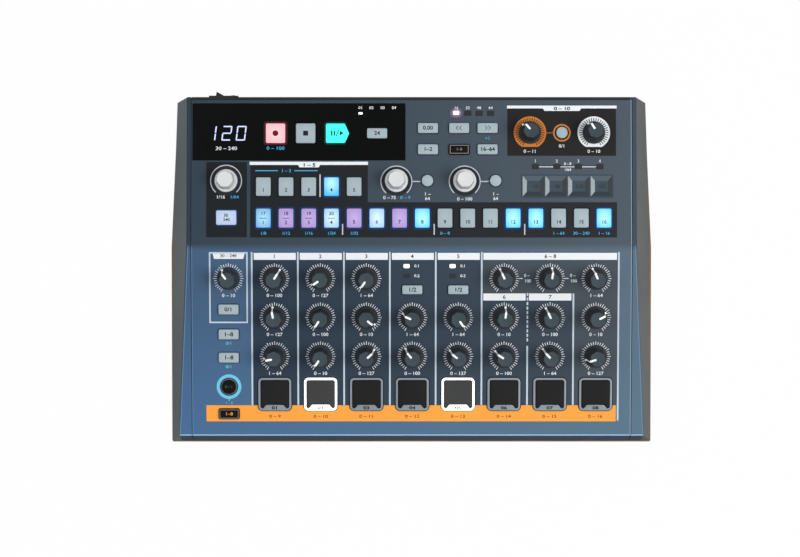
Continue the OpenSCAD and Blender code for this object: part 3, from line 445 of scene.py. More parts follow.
# Starts to edit a piece with those of its vertices, edges or polygons selected that pass the test
def pick(piece, kind, test):
    mesh = piece.data
    for part in (*mesh.vertices, *mesh.edges, *mesh.polygons):
        part.select = False
    for part in getattr(mesh, kind):
        part.select = test(part)
    onlySelect(piece)
    bpy.context.tool_settings.mesh_select_mode = pickModes[kind]
    enterEdit()


def pickEdges(piece, test):
    points = piece.data.vertices
    pick(piece, "edges", lambda edge: test(*(points[i].co for i in edge.vertices)))


def bevelUprights(piece, amount, segments):
    pickEdges(piece, lambda a, b: abs(a.z - b.z) > 0.5)
    bpy.ops.mesh.bevel(offset=amount, segments=segments)
    leaveEdit()


def roundTheRims(piece, level, amount, segments=3):
    pickEdges(piece, lambda a, b: abs(a.z - level) < 0.01 and abs(b.z - level) < 0.01)
    bpy.ops.mesh.bevel(offset=amount, segments=segments)
    leaveEdit()


def addTurned(sides, foot, top, low, high):
    bpy.ops.mesh.primitive_cone_add(vertices=sides, radius1=foot, radius2=top, depth=high - low,
                                    location=(0, 0, (low + high) / 2))
    piece = bpy.context.object
    settle(piece, piece.matrix_world.copy())
    return piece


def addBlock(width, depth, low, high, corner, segments):
    bpy.ops.mesh.primitive_cube_add(size=1)
    block = bpy.context.object
    settle(block, Matrix.Translation((0, 0, (low + high) / 2)) @ Matrix.Diagonal((width, depth, high - low, 1)))
    bevelUprights(block, corner, segments)
    return block


def rideCase(piece, look, body="case"):
    piece.data.materials.clear()
    piece.data.materials.append(finish[look])
    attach(piece, body)
    return piece


# ---- printed marks ----

# How thick the print is, and how far the middle of each layer stands over its plane, in millimetres
ink = {"thickness": 0.05, "zone": 0.02, "lineEdge": 0.03, "overZone": 0.04, "mark": 0.05, "well": 0.06,
       "padEdge": 0.08, "top": 0.09}
onWindow, overWindow, overLens = windowTop + 0.01, windowTop + 0.04, lensTop + 0.04


def addBar(left, right, near, far):
    bpy.ops.mesh.primitive_plane_add(size=1)
    bar = bpy.context.object
    settle(bar, Matrix.Translation(((left + right) / 2, (near + far) / 2, 0))
           @ Matrix.Diagonal((right - left, far - near, 1, 1)))
    return bar


def around(x, y, width, depth):
    return x - width / 2, x + width / 2, y - depth / 2, y + depth / 2


# A flat plate with rounded corners
def addPlate(x, y, width, depth, corner):
    plate = addBar(*around(x, y, width, depth))
    bpy.context.tool_settings.mesh_select_mode = pickModes["vertices"]
    editAll(plate)
    bpy.ops.mesh.bevel(offset=corner, segments=4, affect="VERTICES")
    leaveEdit()
    return plate


# A triangle that points to the right
def addArrow(x, y, size):
    bpy.ops.mesh.primitive_circle_add(vertices=3, radius=size, fill_type="NGON")
    arrow = bpy.context.object
    settle(arrow, Matrix.Translation((x, y, 0)) @ Matrix.Rotation(math.radians(-90), 4, "Z"))
    return arrow


# A leaning bar
def addSlash(x, y, width, depth, thick):
    slash = addBar(*around(x, y, thick, depth))
    for vertex in slash.data.vertices:
        vertex.co.x += (vertex.co.y - y) / depth * width
    return slash


# A sign like two arrowheads from slashes, pointing to the right, or to the left with a negative size
def addChevrons(x, y, size):
    return [addSlash(x + place * abs(size), y + side * abs(size) / 2, -side * size, abs(size), 0.55)
            for place in (-0.75, 0.75) for side in (-1, 1)]


# A bar whose near end is wider or narrower than its far end
def addTab(centre, far, near, farHalf, nearHalf):
    tab = addBar(centre - farHalf, centre + farHalf, near, far)
    for vertex in tab.data.vertices:
        if vertex.co.y < (near + far) / 2:
            vertex.co.x = centre + math.copysign(nearHalf, vertex.co.x - centre)
    return tab


def addFrame(left, right, near, far, width):
    border = addBar(left, right, near, far)
    editAll(border)
    bpy.ops.mesh.inset(thickness=width)
    bpy.ops.mesh.delete(type="FACE")
    leaveEdit()
    return border


# A flat ring, open below by the given angle to each side, or cut straight at flatAt below its centre
def addRing(x, y, inner, outer, opening=0, flatAt=None):
    bpy.ops.mesh.primitive_circle_add(vertices=120, radius=outer, fill_type="NOTHING")
    ring = bpy.context.object
    editAll(ring)
    bpy.ops.mesh.extrude_edges_move()
    bpy.ops.transform.resize(value=(inner / outer, inner / outer, 1))
    leaveEdit()
    if opening:
        limit = math.radians(opening)
        pick(ring, "polygons", lambda face: math.atan2(abs(face.center.x), -face.center.y) < limit)
        bpy.ops.mesh.delete(type="FACE")
        leaveEdit()
    if flatAt:
        editAll(ring)
        bpy.ops.mesh.bisect(plane_co=(0, -flatAt, 0), plane_no=(0, 1, 0), clear_inner=True)
        leaveEdit()
    settle(ring, Matrix.Translation((x, y, 0)))
    return ring


# Ticks round a dial: one is modelled, and spinning makes the rest
def addTicks(spot, inner, outer, width, count):
    tick = addBar(-width / 2, width / 2, inner, outer)
    editAll(tick)
    half = math.radians(dialScale["sweep"] / 2)
    bpy.ops.transform.rotate(value=-half, orient_axis="Z", center_override=(0, 0, 0))
    bpy.ops.mesh.spin(steps=count - 1, dupli=True, angle=2 * half, center=(0, 0, 0), axis=(0, 0, 1))
    leaveEdit()
    settle(tick, Matrix.Translation((spot.x, spot.y, 0)))
    return tick


def addText(words, x, y, size, width=1.0, bold=0.05):
    bpy.ops.object.text_add()
    text = bpy.context.object
    text.data.body = words
    text.data.size = size
    text.data.align_x = "CENTER"
    text.data.align_y = "CENTER"
    text.data.resolution_u = 3
    text.data.offset = bold
    onlySelect(text)
    bpy.ops.object.convert(target="MESH")
    text = bpy.context.object
    settle(text, Matrix.Translation((x, y, 0)) @ Matrix.Diagonal((width, 1, 1, 1)))
    return text


# Several texts of one size, each given by its words and its place
def addTexts(marks, size, width=1.0, bold=0.05):
    return [addText(words, x, y, size, width, bold) for words, x, y in marks]


def printOn(name, parts, look, plane=rearPlane, level=ink["mark"], body="case"):
    piece = joined(parts, name)
    finishWith(piece, "SOLIDIFY", thickness=ink["thickness"], offset=0)
    settle(piece, plane @ Matrix.Translation((0, 0, level)))
    return rideCase(piece, look, body)


# ---- the case ----

caseFinish = {
    "top_panel": "panel", "side_strips": "sideStrip", "base_pan": "pan", "rear_plate": "rear",
    "left_cheek": "cheek", "right_cheek": "rightCheek", "display_window": "window", "digit_display": "display",
    "touch_strip": "strip", "lamp_lenses": "lens", "pad_frames": "frame", "circuit_boards": "board",
    "dial_bodies": "dialMetal", "key_switches": "switch", "rear_sockets": "switch", "rubber_feet": "foot",
    "case_screws": "screw", "power_rocker": "rocker", "record_key": "pinkKey", "stop_key": "key",
    "play_key": "turquoiseKey", "upper_keys": "key", "step_keys": "key", "lower_keys": "key",
}
for node in frame["nodes"]:
    if node.startswith("pad_") and node != "pad_frames":
        caseFinish[node] = "pad"
    if node.endswith("_knob"):
        caseFinish[node] = "encoder" if "encoder" in node else "knob"
for node, look in caseFinish.items():
    mesh = frame["nodes"][node].data
    mesh.materials.clear()
    mesh.materials.append(finish[look])
print("case finished")


# ---- printed zones ----

zones = [(-135, -108.3, 5.8, 55.3), (-106.1, -28.8, 5.6, 55.3), (-28.8, 135, 5.6, 28.8)]
printOn("dark_zones", [addBar(*zone) for zone in zones], "zoneInk", level=ink["zone"])
printOn("output_zone", [addBar(63, 134.5, 59.4, 90.8)], "boxInk", level=ink["zone"])

# The columns on the slope. The last three share their header and, further in front, have their own.
separators = [-105.1, -74.8, -44.5, -14.3, 15.9, 46.1, 76.25, 106.5, 136.2]
columns = {"near": -105.4, "far": -4.0, "sharedNear": -31.3}
printOn("column_zone", [addBar(separators[0], separators[5], columns["near"], columns["far"]),
                        addBar(separators[5], separators[7], columns["near"], columns["sharedNear"])],
        "columnInk", frontPlane, ink["zone"])
printOn("shared_zone", [addBar(separators[5], separators[7], columns["sharedNear"], columns["far"]),
                        addBar(separators[7], separators[8], columns["near"], columns["far"])],
        "wideColumnInk", frontPlane, ink["zone"])

# White bars with a tab that hangs from each, over the output and mode groups
headers = [addBar(62.8, 135, 90.7, 92.56), addTab(99, 90.71, 89.06, 12.7, 11.5),
           addBar(-106.5, -28.7, 53.4, 55.5), addTab(-67.4, 53.41, 51.8, 7.2, 6.3)]
printOn("rear_headers", headers, "whiteInk")
frontHeaders = [addBar(left + 1.3, right - 1.3, -9.1, -4.5)
                for left, right in zip(separators[:5], separators[1:6])]
frontHeaders += [addBar(47.2, 135, -9.1, -4.5), addBar(47.2, 75, -35.95, -31.3),
                 addBar(77.25, 105.2, -35.95, -31.3), addTab(columnX(0) + 0.2, -4.6, -8.5, 10.6, 9.6)]
printOn("front_headers", frontHeaders, "whiteInk", frontPlane)

headerNumbers = addTexts([(str(n), columnX(n), -6.9) for n in range(1, 6)], 3.4, 1.1, 0.06)
headerNumbers += addTexts([("6 – 8", columnX(7), -6.9), ("6", columnX(6), -33.7), ("7", columnX(7), -33.7)],
                          3.4, 1.1, 0.06)
headerNumbers += [addText("30 – 240", columnX(0), -6.5, 2.8, 1.1, 0.04)]
printOn("header_numbers", headerNumbers, "darkInk", frontPlane, ink["top"])

# Thin lines stand between the columns. One of them is broken where two columns share a setting.
lines = [addBar(separators[6] - 0.5, separators[6] + 0.5, -near, 2 - near) for near in range(33, 66, 3)]
for number, x in enumerate(separators):
    start = {6: -66, 7: columns["sharedNear"]}.get(number, -3.95)
    lines.append(addBar(x - 0.55, x + 0.55, -115.6 if number == 8 else -105.3, start))
lines.append(addFrame(-133.2, -107.75, -50.9, -4.0, 0.95))
printOn("column_lines", lines, "skyInk", frontPlane)

# Along the seams lies a painted highlight, where the edges catch the light. The outer edges of the strips lean out
# with the cheeks.
seam = {"half": 0.225, "inset": 0.4, "rear": 97, "front": -125.2, "lean": 21, "stripWidth": 2.1}
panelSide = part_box("top_panel")[1].x / mm
seamX = panelSide - seam["inset"]
for name, plane, near, far in (("rear_seam_edge", rearPlane, 0, seam["rear"]),
                               ("front_seam_edge", frontPlane, seam["front"], 0)):
    edge = addBar(seamX - seam["half"], seamX + seam["half"], near, far)
    printOn(name, [edge], "seamHighlightInk", plane, ink["zone"])
addedX = -seam["front"] * math.sin(slope) * math.tan(math.radians(seam["lean"]))
stripEdgeHighlights = [addBar(-seamX - 0.15, -seamX + 0.15, seam["front"], 0)]
for side in (-1, 1):
    x = side * (panelSide + seam["stripWidth"])
    edge = addBar(x - 0.2, x + 0.2, seam["front"], 0)
    for vertex in edge.data.vertices:
        if vertex.co.y < -1:
            vertex.co.x += side * addedX
    stripEdgeHighlights.append(edge)
printOn("strip_edges", stripEdgeHighlights, "dimSeamHighlightInk", frontPlane, ink["zone"])
printOn("orange_stripe", [addBar(-135.5, 134.9, -116.2, -105.5)], "orangeInk", frontPlane, ink["overZone"])
print("zones printed")


# ---- dials ----

# A scale has a row of ticks and a row of longer ones, each given by its outer radius, width and count
dialScale = {"sweep": 300, "inner": 7.75, "rows": [(9.6, 0.36, 31), (10.0, 0.44, 11)]}


# The angle clockwise from the rear that a knob shows at rest
def shownAngle(knob):
    low, high = joints[knob + "_turn"]["range_deg"]
    return -(low + high) / 2


def dialPlace(knob):
    spot = Vector(joints[knob + "_turn"]["pos_m"])
    plane = frontPlane if spot.z < panelHeight - 0.1 * mm else rearPlane
    return plane, plane.inverted() @ spot


knobs = sorted(node for node in frame["nodes"] if node.endswith("_knob"))
turningKnobs = [knob for knob in knobs if "range_deg" in joints[knob + "_turn"]]
encoders = [knob for knob in knobs if knob not in turningKnobs]
plainDials = [knob for knob in turningKnobs if knob not in ("drive_knob", "master_knob")]
# A range of plain numbers stands below each dial on the slope
ranges = ["0 – 10", "0 – 100", "1 – 64", "0 – 127"]
ticks, labels = [], []
for number, knob in enumerate(plainDials):
    spot = dialPlace(knob)[1]
    for outer, width, count in dialScale["rows"]:
        ticks.append(addTicks(spot, dialScale["inner"], outer, width, count))
    if spot.y > layout["firstRow"] - 1 and abs(spot.x - columnX(6.5)) < layout["columnPitch"]:
        labels += [addBar(spot.x + 9.8, spot.x + 12, spot.y - 0.25, spot.y + 0.25),
                   addText("0 –", spot.x + 14.8, spot.y + 1.9, 2.9, bold=0.06),
                   addText("100", spot.x + 15.4, spot.y - 1.7, 2.9, bold=0.06)]
    else:
        labels.append(addText(ranges[number % len(ranges)], spot.x, spot.y - 11.3, 3.1, 1.1, 0.07))
printOn("dial_scales", ticks, "tickInk", frontPlane)
printOn("dial_ranges", labels, "whiteInk", frontPlane)

# The two output dials stand in solid rings with a straight foot and dark ticks
outputDial = {"inner": 7.4, "outer": 10.72, "flat": 9.4, "tickOuter": 9.7, "tickWidth": 0.5, "ticks": 31}
for name, look in (("drive", "brownInk"), ("master", "whiteInk")):
    spot = dialPlace(name + "_knob")[1]
    ring = addRing(spot.x, spot.y, outputDial["inner"], outputDial["outer"], flatAt=outputDial["flat"])
    printOn(name + "_ring", [ring], look)
    darkTicks = addTicks(spot, outputDial["inner"], outputDial["tickOuter"], outputDial["tickWidth"],
                         outputDial["ticks"])
    printOn(name + "_ticks", [darkTicks], "darkInk", level=ink["top"])
printOn("drive_link", [addRing(98.9, 74.6, 4.75, 5.8), addBar(88.6, 93.2, 74.35, 74.7)], "brownInk")

# Each encoder has a dark disc, painted shadow round its skirt, and an arc. From two of them a short line leads to
# the right.
arcs, encoderShadows = [], []
for knob in encoders:
    spot = dialPlace(knob)[1]
    drop = 0 if knob == "rate_encoder_knob" else 0.5
    arcs.append(addRing(spot.x, spot.y - drop, 9.85, 10.5, opening=42))
    encoderShadows.append(addRing(spot.x, spot.y - drop, 0.01, 9.6))
    if drop:
        arcs.append(addBar(spot.x + 10.4, spot.x + 15.7, spot.y - 0.85, spot.y - 0.15))
printOn("encoder_discs", encoderShadows, "discInk", level=ink["overZone"])
printOn("encoder_arcs", arcs, "greyInk")
print("dials printed")


# ---- knobs ----

knobShape = {"skirt": 7.4, "skirtFoot": 0.6, "skirtTop": 2.3, "gripFoot": 6.5, "gripTop": 5.5, "top": 16.5,
             "soften": 0.55, "pointerHalf": 0.66, "flankHalf": 0.5}
encoderShape = {"skirt": 7.6, "skirtFoot": 0.6, "skirtTop": 2.3, "gripFoot": 6.6, "gripTop": 5.7, "top": 15,
                "soften": 0.7}


# A round skirt and a grip with seven sides, whose top is a little hollow
def addKnobBody(shape):
    skirt = addTurned(64, shape["skirt"], shape["skirt"] - 0.15, shape["skirtFoot"], shape["skirtTop"])
    roundTheRims(skirt, shape["skirtTop"], 0.6)
    grip = addTurned(7, shape["gripFoot"], shape["gripTop"], shape["skirtTop"] - 0.3, shape["top"])
    bevelUprights(grip, shape["soften"] * 1.6, 4)
    roundTheRims(grip, shape["top"], shape["soften"], 4)
    pick(grip, "polygons", lambda face: face.normal.z > 0.99)
    bpy.ops.mesh.inset(thickness=0.5, depth=-0.12)
    leaveEdit()
    body = joined([skirt, grip], "knob_body")
    # The top faces take the lighter copy of the knob's black, a painted highlight
    for face in body.data.polygons:
        face.material_index = int(face.center.z > shape["top"] - 0.3 and face.normal.z > 0.9)
    smooth(body, 35)
    return body


# The pointer lies on the top, goes over the edge and runs down the flank, where it is narrower
def addPointer(shape):
    half = shape["pointerHalf"]
    onTop = addBar(-half, half, 0.9, shape["gripTop"] - 0.35)
    pick(onTop, "vertices", lambda vertex: vertex.co.y < 1)
    bpy.ops.mesh.bevel(offset=half * 0.95, segments=5, affect="VERTICES")
    leaveEdit()
    settle(onTop, Matrix.Translation((0, 0, shape["top"] - 0.02)))
    fall = Vector((0, shape["gripFoot"] - shape["gripTop"] + 0.1, shape["skirtTop"] - shape["top"]))
    flank = addBar(-shape["flankHalf"], shape["flankHalf"], 0, fall.length - 0.6)
    settle(flank, Matrix.Translation((0, shape["gripTop"] - 0.1, shape["top"] - 0.45))
           @ Matrix.Rotation(math.atan2(fall.z, fall.y), 4, "X"))
    onSkirt = addBar(-half, half, shape["gripFoot"] - 0.1, shape["skirt"] + 0.15)
    settle(onSkirt, Matrix.Translation((0, 0, shape["skirtTop"] + 0.02)))
    pointer = joined([onTop, flank, onSkirt], "knob_pointer")
    finishWith(pointer, "SOLIDIFY", thickness=0.22, offset=0)
    return pointer


knobBody = addKnobBody(knobShape)
knobPointer = addPointer(knobShape)
encoderModel = addKnobBody(encoderShape)
for piece, looks in ((knobBody, ("knob", "knobTopLit")), (knobPointer, ("pointer",)),
                     (encoderModel, ("encoder", "encoder"))):
    for look in looks:
        piece.data.materials.append(finish[look])
knobModel = joined([knobBody, knobPointer], "knob_model")
for knob in knobs:
    plane, spot = dialPlace(knob)
    place = plane @ Matrix.Translation((spot.x, spot.y, 0))
    model = encoderModel
    if knob in turningKnobs:
        model = knobModel
        place = place @ Matrix.Rotation(math.radians(-shownAngle(knob)), 4, "Z")
    piece = placedCopy(model, knob.replace("_knob", "_cap"), place)
    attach(piece, knob)
    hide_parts(knob)
discard(knobModel, encoderModel)
print("knobs placed:", len(knobs))

# ---- keys ----

keyShape = {"proud": 1.5, "below": 1.4, "corner": 0.9, "edge": 0.3}


# The key's map runs from 0 to 1 across its top
def mapTop(piece, width, depth):
    mesh = piece.data
    layer = mesh.uv_layers[0] if mesh.uv_layers else mesh.uv_layers.new()
    for loop in mesh.loops:
        place = mesh.vertices[loop.vertex_index].co
        layer.data[loop.index].uv = (place.x / width + 0.5, place.y / depth + 0.5)


def addKey(width, depth):
    key = addBlock(width, depth, -keyShape["below"], keyShape["proud"], keyShape["corner"], 4)
    roundTheRims(key, keyShape["proud"], keyShape["edge"])
    mapTop(key, width, depth)
    smooth(key, 50)
    return key


def addRoundKey(across):
    key = addTurned(48, across / 2, across / 2, -keyShape["below"], keyShape["proud"])
    roundTheRims(key, keyShape["proud"], 0.5, 4)
    mapTop(key, across, across)
    smooth(key, 50)
    return key


# A square key whose right side comes to a blunt point
def addPointedKey(width, tip):
    key = addKey(width, width)
    editAll(key)
    bpy.ops.mesh.bisect(plane_co=(0, 0, 0), plane_no=(0, 1, 0))
    leaveEdit()
    for vertex in key.data.vertices:
        if vertex.co.x > 0:
            vertex.co.x += tip * (1 - min(1, abs(vertex.co.y) / (width / 2 - 0.5))) - 0.1
    return key


def besideFold(y):
    return frontPlane if y < 0 else rearPlane


# Painted shadow in the gaps round the keys, or a painted glow round lit ones, seen as a thin line
def addWells(name, places, size, look="wellInk", margin=0.45):
    width, depth = (side + 2 * margin for side in size)
    surrounds = [addPlate(x, y, width, depth, keyShape["corner"] + margin) for x, y in places]
    printOn(name, surrounds, look, besideFold(places[0][1]), ink["well"])


# A bank of keys that move as one body: one piece for each colour
def addBank(name, node, kind, places, look):
    caps = [placedCopy(models[kind], name, besideFold(y) @ Matrix.Translation((x, y, 0))) for x, y in places]
    bank = joined(caps, name)
    rideCase(bank, look, node)
    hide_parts(node)


def keyMark(name, parts, look, node):
    plane = frontPlane if node == "lower_keys" else rearPlane
    printOn(name, parts, look, plane, keyShape["proud"] + 0.01, node)


keySizes = {"step": (9.6, 12.5), "mode": (9.6, 12.2), "bar": (13.2, 6.6), "type": (13.2, 5.8),
            "tap": (13.2, 9.5), "big": (12.7, 12.9)}
models = {kind: addKey(*size) for kind, size in keySizes.items()}
models.update({"play": addPointedKey(12.8, 2.6), "round": addRoundKey(7.6), "shift": addRoundKey(9.6)})

row, leftX = layout["transportRow"], columnX(0)
recordX, stopX, playX = -89.5, -69.7, -50
sync, tap, save = (-22.7, row), (-121.8, 18.6), (31.3, 63.6)
shift, colourKey = (leftX, -93.1), (leftX, -111.1)
steps = {n: (stepX(n - 1), layout["stepRow"]) for n in range(1, 17)}
modes = [(stepX(n), layout["modeRow"]) for n in range(5)]
litMode = modes.pop(3)
edits = [(x, y) for x in layout["editColumns"] for y in layout["editRows"] if (x, y) != save]
channels = [(leftX, y) for y in (-41.8, -58.3, -73.7)]
types = [(columnX(n), layout["typeRow"]) for n in (4, 5)]
rounds = [(10.4, layout["encoderRow"]), (55.2, layout["encoderRow"])]
driveSwitch = (98.9, layout["outputRow"])
stepLooks = {"iceKey": [1], "snowKey": [4, 6], "violetKey": [2, 3, 5, 7], "skyKey": [8, 12, 13, 16],
             "key": [9, 10, 11, 14, 15]}
banks = [("step_keys_" + look, "step_keys", "step", [steps[n] for n in numbers], look)
         for look, numbers in stepLooks.items()]
banks += [
    ("mode_keys", "upper_keys", "mode", modes, "key"),
    ("mode_key_lit", "upper_keys", "mode", [litMode], "aquaKey"),
    ("edit_keys", "upper_keys", "bar", edits, "key"),
    ("sync_key", "upper_keys", "bar", [sync], "key"),
    ("save_key", "upper_keys", "bar", [save], "blackKey"),
    ("channel_keys", "lower_keys", "bar", channels, "key"),
    ("colour_key", "lower_keys", "bar", [colourKey], "blackKey"),
    ("type_keys", "lower_keys", "type", types, "key"),
    ("tap_key", "upper_keys", "tap", [tap], "mistKey"),
    ("record_cap", "record_key", "big", [(recordX, row)], "pinkKey"),
    ("stop_cap", "stop_key", "big", [(stopX, row)], "key"),
    ("play_cap", "play_key", "play", [(playX, row)], "turquoiseKey"),
    ("round_keys", "upper_keys", "round", rounds, "key"),
    ("drive_switch", "upper_keys", "round", [driveSwitch], "key"),
    ("shift_key", "lower_keys", "shift", [shift], "blackKey"),
]
for bank in banks:
    addBank(*bank)
discard(*models.values())

litSteps = [steps[n] for n in steps if n not in stepLooks["key"]]
addWells("step_halos", litSteps, keySizes["step"], "haloInk", 1.15)
addWells("step_wells", [steps[n] for n in stepLooks["key"]], keySizes["step"], margin=0.65)
addWells("mode_wells", modes, (10, 12.6))
addWells("edit_wells", [*edits, save], keySizes["bar"])
addWells("channel_wells", [*channels, colourKey], keySizes["bar"])
addWells("type_wells", types, keySizes["type"])
addWells("mode_halo", [litMode], keySizes["mode"], "haloInk", 1.15)
addWells("tap_halo", [tap], keySizes["tap"], "haloInk", 0.8)
roundGapShadows = [addRing(x, y, 3.65, 4.35) for x, y in (*rounds, driveSwitch)]
printOn("round_wells", roundGapShadows, "wellInk", level=ink["well"])
printOn("shift_well", [addRing(*shift, 4.6, 5.1)], "rimInk", frontPlane, ink["well"])
printOn("shift_gap", [addRing(*shift, 5.1, 6.1)], "gapInk", frontPlane, ink["well"])
shiftRing = [addRing(*shift, 6.1, 8.16), addBar(leftX - 0.35, leftX + 0.35, -102.6, -101.1),
             addText("1 – 8", leftX, -104, 2.2, bold=0.03)]
printOn("shift_ring", shiftRing, "paleBlueInk", frontPlane)
# A painted glow of the record and play keys' light lies on the window round them
printOn("record_halo", [addPlate(recordX, row, 15.6, 15.6, 1.8)], "redHalo", level=onWindow)
printOn("play_halo", [addPlate(playX - 0.3, row, 14.6, 15.1, 1.8)], "greenHalo", level=onWindow)

# Marks on the keys: the usual signs for record, stop, play, back and forward, and plain numbers
stepNumbers = [addText(str(n), x, y - (3 if n < 5 else 2.6), 3.4) for n, (x, y) in steps.items()]
for n in range(1, 5):
    x, y = steps[n]
    stepNumbers += [addText(str(n + 16), x, y + 2.9, 3.2), addBar(x - 2.1, x + 2.1, y - 0.3, y + 0.1)]
keyMark("step_numbers", stepNumbers, "darkInk", "step_keys")
keyMark("record_mark", [addRing(recordX, row, 0.01, 1.9)], "redInk", "record_key")
keyMark("stop_mark", [addBar(*around(stopX, row, 3.2, 3.2))], "darkInk", "stop_key")
playSign = [addArrow(-46.4, row, 1.7), addSlash(-48.8, row, 1.6, 4.2, 0.55)]
playSign += [addBar(*around(x, row, 0.8, 3.2)) for x in (-52.5, -50.7)]
keyMark("play_mark", playSign, "greenHalo", "play_key")
upperMarks = [*addChevrons(31.1, 77.65, -1.45), *addChevrons(50.1, 77.65, 1.45)]
editMarks = [("0.00", 10.75, 77.65), ("1–2", 10.75, 63.6), ("16–64", 49.95, 63.6), ("24", *sync)]
upperMarks += addTexts(editMarks, 3.5, 1.1, 0.09)
upperMarks += addTexts([(str(n + 1), stepX(n), layout["modeRow"] - 2.3) for n in range(5)], 3.4, bold=0.06)
upperMarks += addTexts([("30", -122, 20), ("240", -121.6, 17.2)], 2.9, bold=0.06)
keyMark("upper_marks", upperMarks, "darkInk", "upper_keys")
saveMarks = [addFrame(*around(*save, 12.2, 5.6), 0.35), addText("1–8", *save, 2.6, bold=0.02)]
keyMark("save_marks", saveMarks, "rimInk", "upper_keys")
lowerMarks = [addText(words, *place, 3.6, 1.15, 0.09) for words, place in
              zip(("0/1", "1–8", "1–8", "1/2", "1/2"), channels + types)]
keyMark("lower_marks", lowerMarks, "darkInk", "lower_keys")
keyMark("colour_key_rim", [addFrame(*around(*colourKey, 12.4, 5.8), 0.3)], "rimInk", "lower_keys")
keyMark("colour_key_number", [addText("1–8", *colourKey, 3.1, 1.1, 0.04)], "orangeInk", "lower_keys")
keyMark("shift_mark", [addText("0 / 1", *shift, 2.6, 1.1, 0.03)], "faintInk", "lower_keys")
print("keys placed")

# ---- display digits, lamps and printed numbers ----

display = {"near": 69.4, "high": 9.7, "stroke": 0.8, "gap": 0.3, "slant": 0.12,
           "digits": [("bc", -133.8, 4.6), ("abged", -125.2, 6.2), ("abcdef", -115.8, 6.2)]}


# One digit from straight strokes, leaning a little to the right
def addDigit(segments, left, width):
    high, stroke, gap = display["high"], display["stroke"], display["gap"]
    middle = high / 2
    strokes = {letter: (stroke * 0.6, width - stroke * 0.6, low, low + stroke)
               for letter, low in (("a", high - stroke), ("g", middle - stroke / 2), ("d", 0))}
    for letter, start, low in (("b", width - stroke, middle), ("c", width - stroke, 0), ("e", 0, 0),
                               ("f", 0, middle)):
        strokes[letter] = (start, start + stroke, low + gap, low + middle - gap)
    digit = joined([addBar(*strokes[letter]) for letter in segments], "digit")
    for vertex in digit.data.vertices:
        vertex.co.x += vertex.co.y * display["slant"]
    settle(digit, Matrix.Translation((left, display["near"], 0)))
    return digit


printOn("display_digits", [addDigit(*digit) for digit in display["digits"]], "digitLight", level=overWindow)
windowMarks = addTexts([("%02d" % n, x, 91) for n, x in enumerate(layout["repeatLamps"], 1)], 2.6, 1.1, 0.06)
windowMarks.append(addText("30 – 240", -121.9, 64.2, 3.2, 1.25, 0.06))
printOn("window_numbers", windowMarks, "whiteInk", level=overWindow)
blueNumber = addText("0 – 100", recordX, 64.3, 3.1, 1.25, 0.06)
printOn("window_blue_number", [blueNumber], "blueInk", level=overWindow)
repeatLamp, pageLamp = (layout["repeatLamps"][0], 87.4), (layout["pageLamps"][0], 87.7)
printOn("window_light", [addPlate(*repeatLamp, 2.7, 1.4, 0.5)], "whiteLight", level=overWindow)
# A painted glow of the page lamp's light lies round it
printOn("page_glow", [addPlate(*pageLamp, 8.4, 6.4, 2.8)], "glowInk", level=ink["zone"])
printOn("page_glow_near", [addPlate(*pageLamp, 5.8, 4.3, 1.8)], "nearGlowInk")
printOn("page_light", [addPlate(*pageLamp, 3.8, 2.5, 0.5)], "pinkLight", level=overLens)

numbers = addTexts([(str(n), x, 55.9) for n, x in enumerate(layout["sourceLamps"], 1)], 2.8)
numbers += addTexts([(str(16 * n), x, 91) for n, x in enumerate(layout["pageLamps"], 1)], 2.6, 1.1)
numbers += [addText("0 – 8", 102.6, 54.1, 2.3, bold=0.08), addText("1/64", 102.6, 50.2, 2.5, bold=0.08)]
rearMarks = [("1/16", -125.6, 32.2), ("0 – 75", -14.5, 31.8), ("0 – 100", 34.9, 30.9),
             ("0 – 11", 77.9, 62.3), ("0/1", 98.9, 65.8), ("0 – 10", 119.9, 62.3)]
for x, y in rounds:
    rearMarks += [("1 –", x, y - 8.8), ("64", x, y - 11.9)]
numbers += addTexts(rearMarks, 3, 1.1, 0.06)
printOn("rear_numbers", numbers, "whiteInk")
lampLine = {"near": 51.75, "far": 52.5, "rim": 0.4}
greyMarks = [addBar(left + 2.4, left + 11.7, lampLine["near"], lampLine["far"])
             for left in layout["sourceLamps"][:-1]]
greyMarks += [addBar(-60.6, -59.8, 32.25, 47.1)]
greyMarks += [addBar(x - 0.4, x + 0.4, 7.4, 14.5) for x in (-45.35, 14.84, 74.3)]
# A painted shadow lies along the edges of the lamp line
lampLineShadow = addBar(layout["sourceLamps"][0], layout["sourceLamps"][-1], lampLine["near"] - lampLine["rim"],
                  lampLine["far"] + lampLine["rim"])
printOn("lamp_lines", [lampLineShadow], "wellInk", level=ink["lineEdge"])
printOn("rear_lines", greyMarks, "greyInk")
printOn("tab_numbers", addTexts([("0 – 10", 99, 90.5), ("1 – 5", -67.4, 53.3)], 3.2, 1.3, 0.09), "darkInk",
        level=ink["top"])
blueMarks = [addBar(left, right, 49.3, 49.9) for left, right in ((-102.8, -88), (-77.1, -61.8))]
blueMarks.append(addText("1 – 3", -82.5, 49.5, 2.9, 1.1))
stepLabels = {0: "1/8", 1: "1/12", 2: "1/16", 3: "1/24", 4: "1/32", 8: "0 – 8", 13: "1 – 64",
              14: "30 – 240", 15: "1 – 16"}
blueMarks += addTexts([(words, stepX(n), 8.3) for n, words in stepLabels.items()], 2.9, 1.05)
blueMarks += addTexts([("1/64", -116.5, 32.2), ("0 – 9", -4.2, 31.8), ("+1", 49.95, 70.9)], 3, 1.1)
printOn("blue_numbers", blueMarks, "blueInk")
cells = {"1/4": 81.6, "1/8": 96.2, "1/16": 111, "1/32": 125.6}
cellMarks = addTexts([(words, x, 39.2) for words, x in cells.items()], 3, bold=0.03)
printOn("cell_numbers", cellMarks, "faintInk", level=cellTop + 0.03)
channelMarks = addTexts([("0/1", leftX, -64.3), ("0/1", leftX, -79.9)], 3, 1.1)
